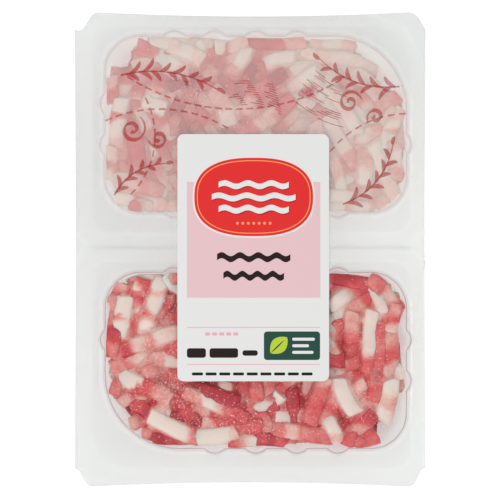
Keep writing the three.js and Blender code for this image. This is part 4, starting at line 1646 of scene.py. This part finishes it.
def labelFields():
    # outline, colour and layer of each printed field; a pair of outlines is a ring
    look, badge = labelPaper, labelPaper["badge"]
    (cx, cy), (rx, ry) = badge["centre"], badge["reach"]

    def badgeLine(inset):
        return oval(cx, cy, rx - inset, ry - inset, 96, badge["squareness"])

    fields = [(box(-27.9, 31.0, -21.3, 29.8, 0.3), "pink", 1), (badgeLine(0), "paper", 2),
              (badgeLine(0.8), "red", 3), ([badgeLine(1.9), badgeLine(2.25)], "gold", 4)]
    dx, dy = look["shadow"]
    for y, half in look["waves"]:
        fields.append((wavyBar(cx - half + dx, cx + half + dx, y + dy, 2.5, 3, 0.75), "shade", 4))
        fields.append((wavyBar(cx - half, cx + half, y, 2.5, 3, 0.75), "paper", 5))
    beads, marks = look["beads"], look["footMarks"]
    for i in range(beads["count"]):
        x = cx + (i - beads["count"] // 2) * beads["step"]
        fields.append((oval(x, beads["y"], beads["radius"], beads["radius"], 16), "gold", 4))
    for y, half in look["bars"]:
        fields.append((wavyBar(cx - half, cx + half, y, 2.7, 4, 0.9), "ink", 2))
    fields += [(box(*numbers), colour, layer) for *numbers, colour, layer in look["lowerBoxes"]]
    fields.append((leaf(9.0, -45.8, 16.4, -38.8, 0.34), "lime", 2))
    fields.append((leaf(8.9, -45.9, 15.2, -39.9, 0.035), "green", 3))
    for y, right in look["greenLines"]:
        fields.append((box(18.6, right, y - 0.65, y + 0.65, 0.6, 4), "paper", 2))
    for i in range(marks["count"]):
        left = marks["left"] + i * marks["step"]
        fields.append((box(left, left + marks["length"], -55.6, -54.3, 0.5, 4), "ink", 1))
    return fields


def makeLabel():
    look, low, high = labelPaper, labelLow, labelHigh
    points, faces, colours = [], [], []
    names = list(look["colours"])

    def addPlate(outline, bottom, top, colour):
        first, known = len(points), len(faces)
        loops = outline if isinstance(outline[0][0], tuple) else [outline]
        count = len(loops[0])
        for loop in loops:
            points.extend((x, y, z) for z in (bottom, top) for x, y in loop)
        faces.extend(wallFaces(first, count))
        if len(loops) == 1:
            faces.append(tuple(range(first + count, first + 2 * count)))
            faces.append(tuple(range(first, first + count))[::-1])
        else:
            faces.extend(face[::-1] for face in wallFaces(first + 2 * count, count))
            for i in range(count):
                j = (i + 1) % count
                faces.append(tuple(first + k for k in (count + i, count + j, 3 * count + j, 3 * count + i)))
                faces.append(tuple(first + k for k in (j, i, 2 * count + i, 2 * count + j)))
        colours.extend([names.index(colour)] * (len(faces) - known))

    paper = box(low[0], high[0], low[1], high[1], look["radius"], 12)
    addPlate(paper, low[2] + 0.01, high[2], "paper")
    for outline, colour, layer in labelFields():
        addPlate(outline, high[2] - look["sunk"], high[2] + layer * look["layer"], colour)
    materials = [principled(name + "Print", Base_Color=colour, Roughness=0.42, Specular_IOR_Level=0.15)[0]
                 for name, colour in look["colours"].items()]
    return makePiece("paperLabel", makeMesh("paperLabel", points, faces, materials, colours, smooth=False))


ridesOn(makeLabel(), "label", "label")
print("label made")


# crimson print on the film over the upper pocket: sprigs, scrolls, dashes and hatching
filmPrint = {
    "colour": (0.52, 0.012, 0.022, 1),
    "alpha": 0.33,
    "stroke": 1.8,
    "stem": 0.75,
    "fine": 0.34,
    "thickness": 0.05,
    "smoothness": 0.7,
    "dashes": {"Dash": 3.0, "Gap": 1.6, "Width": 0.7},
    "fromRim": 0.8,
    "fromLabel": 1,
    "seed": 4,
    "sprigs": [  # start, end, bend, pairs of leaves and their length
        ((-57, 77), (-15, 71), 0.10, 6, 7.0),
        ((66, 72), (31, 84), 0.12, 5, 7.0),
        ((-60, 24), (-37, 38), 0.14, 4, 6.0),
        ((41, 20), (63, 46), -0.14, 5, 6.5),
    ],
    "scrolls": [  # place, size, angle, turns and hand
        (-52, 53, 6.5, 1.0, 1.5, -1),
        (-40.5, 49, 4.6, 3.2, 1.4, 1),
        (44, 65, 5.6, 0.2, 1.5, 1),
        (55.5, 58.5, 4.2, 3.8, 1.3, -1),
    ],
    "dashedArcs": [  # centre, radius, and the angles of both ends
        (-40, 4, 58, 1.05, 2.1),
        (-6, 150, 88, 4.15, 5.25),
        (70, 16, 44, 1.6, 2.9),
        (-78, 50, 36, -0.75, 0.45),
    ],
    "hatching": [  # fine arcs round a centre, each row further out; scatter stands for a random start
        {"centre": (-2, 34), "lines": 30, "rows": 12, "radius": 30, "apart": 0.95, "start": 1.02,
         "turn": 0.022, "length": (0.05, 0.2)},
        {"centre": (52, 104), "lines": 20, "rows": 20, "radius": 34, "apart": 0.9, "start": 3.95,
         "scatter": 0.35, "length": (0.08, 0.25)},
    ],
}


def curveThrough(start, end, bend, steps=24):
    start, end = np.array(start, float), np.array(end, float)
    along = end - start
    out = np.array((-along[1], along[0]))
    return [tuple(start + along * t + out * bend * 4 * t * (1 - t)) for t in np.linspace(0, 1, steps)]


def tapered(line, stroke, thin=0.25):
    # a stroke that swells in the middle
    share = np.sin(np.linspace(0, math.pi, len(line))) ** 0.7
    return line, stroke * (thin + (1 - thin) * share)


def sprig(start, end, bend, pairs, leafLength, chance):
    # a stem with slim curved leaves on both sides
    stem = curveThrough(start, end, bend)
    strokes = [(stem, np.linspace(filmPrint["stem"], filmPrint["stem"] * 0.6, len(stem)))]
    for number in range(pairs):
        t = (number + 0.5) / (pairs + 0.3)
        for side in (-1, 1):
            place = min(int((t + 0.2 * side / pairs) * (len(stem) - 2)), len(stem) - 2)
            root, ahead = np.array(stem[place]), np.array(stem[place + 1]) - stem[place]
            angle = math.atan2(ahead[1], ahead[0]) + side * chance.uniform(0.6, 0.85)
            size = leafLength * (1.15 - 0.45 * t) * chance.uniform(0.85, 1.1)
            tip = root + size * np.array((math.cos(angle), math.sin(angle)))
            strokes.append(tapered(curveThrough(root, tip, -0.13 * side, 12), filmPrint["stroke"]))
    tip = np.array(stem[-1]) + (np.array(stem[-1]) - stem[-3]) * 1.2
    strokes.append(tapered(curveThrough(stem[-1], tip, 0.1, 12), filmPrint["stroke"]))
    return strokes


def scroll(x, y, size, turn, turns, hand=1):
    # a spiral that ends in a bead, thick and thin as drawn with a broad pen
    line, widths = [], []
    steps = int(30 * turns)
    for i in range(steps + 1):
        t = i / steps
        radius = size * (1 - 0.86 * t ** 0.8)
        angle = turn + hand * t * turns * 2 * math.pi
        line.append((x + radius * math.cos(angle), y + radius * math.sin(angle)))
        widths.append(filmPrint["stroke"] * (0.35 + 0.65 * abs(math.sin(angle + 0.5))) * min(1, 0.3 + 4 * t))
    return line, widths


def arc(x, y, radius, start, end, steps=40):
    return [(x + radius * math.cos(start + (end - start) * i / steps),
             y + radius * math.sin(start + (end - start) * i / steps)) for i in range(steps + 1)]


def hatching(patch, chance):
    lines = []
    for i in range(patch["lines"]):
        turn = chance.uniform(0, patch["scatter"]) if "scatter" in patch else patch["turn"] * i
        start = patch["start"] + turn
        radius = patch["radius"] + patch["apart"] * (i % patch["rows"])
        lines.append(arc(*patch["centre"], radius, start, start + chance.uniform(*patch["length"]), 8))
    return [(line, filmPrint["fine"]) for line in lines]


def overPocket(strokes):
    # the print is left off where it would miss the upper pocket or lie under the label
    kept, away = [], filmPrint["fromLabel"]
    for line, widths in strokes:
        at = np.array(line)
        widths = np.broadcast_to(widths, len(line))
        free = (at[:, 0] < labelLow[0] - away) | (at[:, 0] > labelHigh[0] + away)
        free |= at[:, 1] > labelHigh[1] + away
        free &= rimInset(pockets["upper"], at) > filmPrint["fromRim"]
        first = 0
        for i, keep in enumerate([*free, False]):
            if not keep:
                if i - first > 2:
                    kept.append((line[first:i], widths[first:i]))
                first = i + 1
    return kept


def ribbonTree(material):
    # sweeps a flat band along each line, as wide as its stroke
    tree, given, result = newTree("ribbons", {"Thickness": 0.05, "Smoothness": 0.6})
    given = given.outputs
    curve = evenCurve(tree, given["Geometry"], given["Smoothness"])
    band = addNode(tree, "GeometryNodeCurvePrimitiveQuadrilateral",
                   {"Width": 1.0, "Height": given["Thickness"]}).outputs[0]
    swept = addNode(tree, "GeometryNodeCurveToMesh", {"Curve": curve, "Profile Curve": band,
                                                      "Scale": named(tree, "stroke"), "Fill Caps": True})
    return finishTree(tree, result, swept.outputs[0], material)


def dashTree(material):
    # lays small bars along each line
    tree, given, result = newTree("dashes", {"Dash": 3.0, "Gap": 1.5, "Width": 0.7, "Thickness": 0.05})
    given = given.outputs
    curve = addNode(tree, "GeometryNodeMeshToCurve", {"Mesh": given["Geometry"]}).outputs[0]
    pitch = maths(tree, "ADD", given["Dash"], given["Gap"])
    spots = addNode(tree, "GeometryNodeCurveToPoints", {"Curve": curve, "Length": pitch},
                    mode="LENGTH").outputs
    size = combined(tree, given["Width"], given["Thickness"], given["Dash"])
    bar = addNode(tree, "GeometryNodeMeshCube", {"Size": size}).outputs["Mesh"]
    placed = addNode(tree, "GeometryNodeInstanceOnPoints",
                     {"Points": spots["Points"], "Instance": bar, "Rotation": spots["Rotation"]})
    return finishTree(tree, result, placed.outputs[0], material)


def scaleToMetres(mesh):  # it was laid in millimetres
    placePoints(mesh, pointsOf(mesh) * mm)


def drawRibbons(name, strokes, z, thickness, material):
    # strokes holds each line with its width, or with one width a point
    lines = [[(x, y, z) for x, y in line] for line, widths in strokes]
    piece = linePiece(name, lines, {"stroke": [widths for line, widths in strokes]})
    sizes = {"Thickness": thickness, "Smoothness": filmPrint["smoothness"]}
    scaleToMetres(runTree(piece, ribbonTree(material), sizes))
    return piece


def makePrint():
    look = filmPrint
    ink = principled("crimsonInk", Base_Color=look["colour"], Roughness=0.5, Alpha=look["alpha"])[0]
    z = filmHigh[2] + look["thickness"] / 2
    chance = random.Random(look["seed"])
    strokes = [stroke for numbers in look["sprigs"] for stroke in sprig(*numbers, chance)]
    strokes += [scroll(*numbers) for numbers in look["scrolls"]]
    strokes += [stroke for patch in look["hatching"] for stroke in hatching(patch, chance)]
    drawn = drawRibbons("filmStrokes", overPocket(strokes), z, look["thickness"], ink)
    dashes = overPocket([(arc(*numbers), 0) for numbers in look["dashedArcs"]])
    dotted = linePiece("filmDashes", [[(x, y, z) for x, y in line] for line, _ in dashes])
    scaleToMetres(runTree(dotted, dashTree(ink), {**look["dashes"], "Thickness": look["thickness"]}))
    return drawn, dotted


for piece in makePrint():
    ridesOn(piece, "film")
print("print drawn")


# a thin pinkish-brown line in the film round each pocket, just inside the rim: painted shade with the meat's
# pink reflection, where the tray bends down
rimShadeLine = {
    "colour": (0.42, 0.19, 0.17, 1),
    "alpha": {"upper": 0.11, "lower": 0.20},  # of each face
    "width": 0.34,
    "inset": 0.1,
    "thickness": 0.05,
}


def makeRimShadeLine(name):
    look = rimShadeLine
    # painted shade and reflection, see-through
    ink = principled(name + "RimShade", Base_Color=look["colour"], Roughness=0.4, Alpha=look["alpha"][name])[0]
    ring = closed(pocketRing(pockets[name], look["inset"], 1))
    z = (filmLow[2] + filmHigh[2]) / 2
    return drawRibbons(name + "SealLine", [(ring, look["width"])], z, look["thickness"], ink)


for name in pockets:
    ridesOn(makeRimShadeLine(name), "film")
print("rim shade lines drawn")


# specks of fat and moisture under the film, pale, that also serve as painted highlights for the glints of the
# wet meat
speckLook = {
    "sizes": {"Density": 1.5, "Smallest": 0.05, "Largest": 0.18, "Seed": 7},
    "longer": (0.7, 2.2),
    "flat": 0.08,
    "below": 0.12,  # the film
    # lighter than the fat, for the painted glints
    "colour": (0.84, 0.72, 0.66, 1),
    "step": 3.0,
    "fromRim": 3,
    "everywhere": {"upper": 0.03, "lower": 0.10},
    "clusters": [  # place, spread and strength
        ((-33, -64), 6.0, 1.0), ((-36, -58), 4.5, 0.8), ((-18, -79), 7.0, 0.9), ((4, -81), 8.0, 0.7),
        ((52, -38), 3.0, 1.4), ((-40, -41), 6.0, 0.7), ((48, -69), 6.0, 0.7), ((-41, -25), 6.0, 0.5),
        ((34, -28), 5.0, 0.5), ((-52, -62), 5.0, 0.4), ((-22, 68), 5.0, 0.9), ((-7, 47), 8.0, 0.3),
    ],
}


def speckField():
    # a grid over each pocket with the density of the specks at each point
    look = speckLook
    points, faces, density = [], [], []
    for name, pocket in pockets.items():
        grid, row = pocketGrid(pocket, look["step"], beyond=1)
        weight = np.full(len(grid), look["everywhere"][name])
        for (x, y), spread, strength in look["clusters"]:
            weight += strength * np.exp(-((grid[:, 0] - x) ** 2 + (grid[:, 1] - y) ** 2) / (2 * spread ** 2))
        density.extend(weight * (rimInset(pocket, grid) > look["fromRim"]))
        starts = [len(points) + a for a in range(len(grid) - row) if (a + 1) % row]
        faces += [(a, a + 1, a + 1 + row, a + row) for a in starts]
        points += [(x, y, filmLow[2] - look["below"]) for x, y in grid]
    mesh = bpy.data.meshes.new("specks")
    mesh.from_pydata(points, [], faces)
    addValue(mesh, "density", density)
    return makePiece("specks", mesh)


def speckTree(material):
    tree, given, result = newTree("specks", {"Density": 1.0, "Smallest": 0.1, "Largest": 0.4, "Seed": 0})
    given = given.outputs

    def drawn(low, high, seed):
        return addNode(tree, "FunctionNodeRandomValue", {2: low, 3: high, "Seed": seed},
                       data_type="FLOAT").outputs[1]

    density = maths(tree, "MULTIPLY", named(tree, "density"), given["Density"])
    spots = addNode(tree, "GeometryNodeDistributePointsOnFaces",
                    {"Mesh": given["Geometry"], "Density": density, "Seed": given["Seed"]}).outputs["Points"]
    drop = addNode(tree, "GeometryNodeMeshIcoSphere", {"Radius": 1.0, "Subdivisions": 1}).outputs["Mesh"]
    size = drawn(given["Smallest"], given["Largest"], 0)
    length = maths(tree, "MULTIPLY", size, drawn(*speckLook["longer"], 3))
    scale = combined(tree, length, size, speckLook["flat"])
    turn = combined(tree, 0.0, 0.0, drawn(0.0, 6.28, 9))
    placed = addNode(tree, "GeometryNodeInstanceOnPoints",
                     {"Points": spots, "Instance": drop, "Rotation": turn, "Scale": scale})
    return finishTree(tree, result, placed.outputs[0], material)


def makeSpecks():
    white = principled("specks", Base_Color=speckLook["colour"], Roughness=0.3)[0]
    piece = speckField()
    mesh = runTree(piece, speckTree(white), speckLook["sizes"])
    scaleToMetres(mesh)
    print("specks:", len(mesh.polygons) // 20)
    return piece


ridesOn(makeSpecks(), "film")
print("specks scattered")
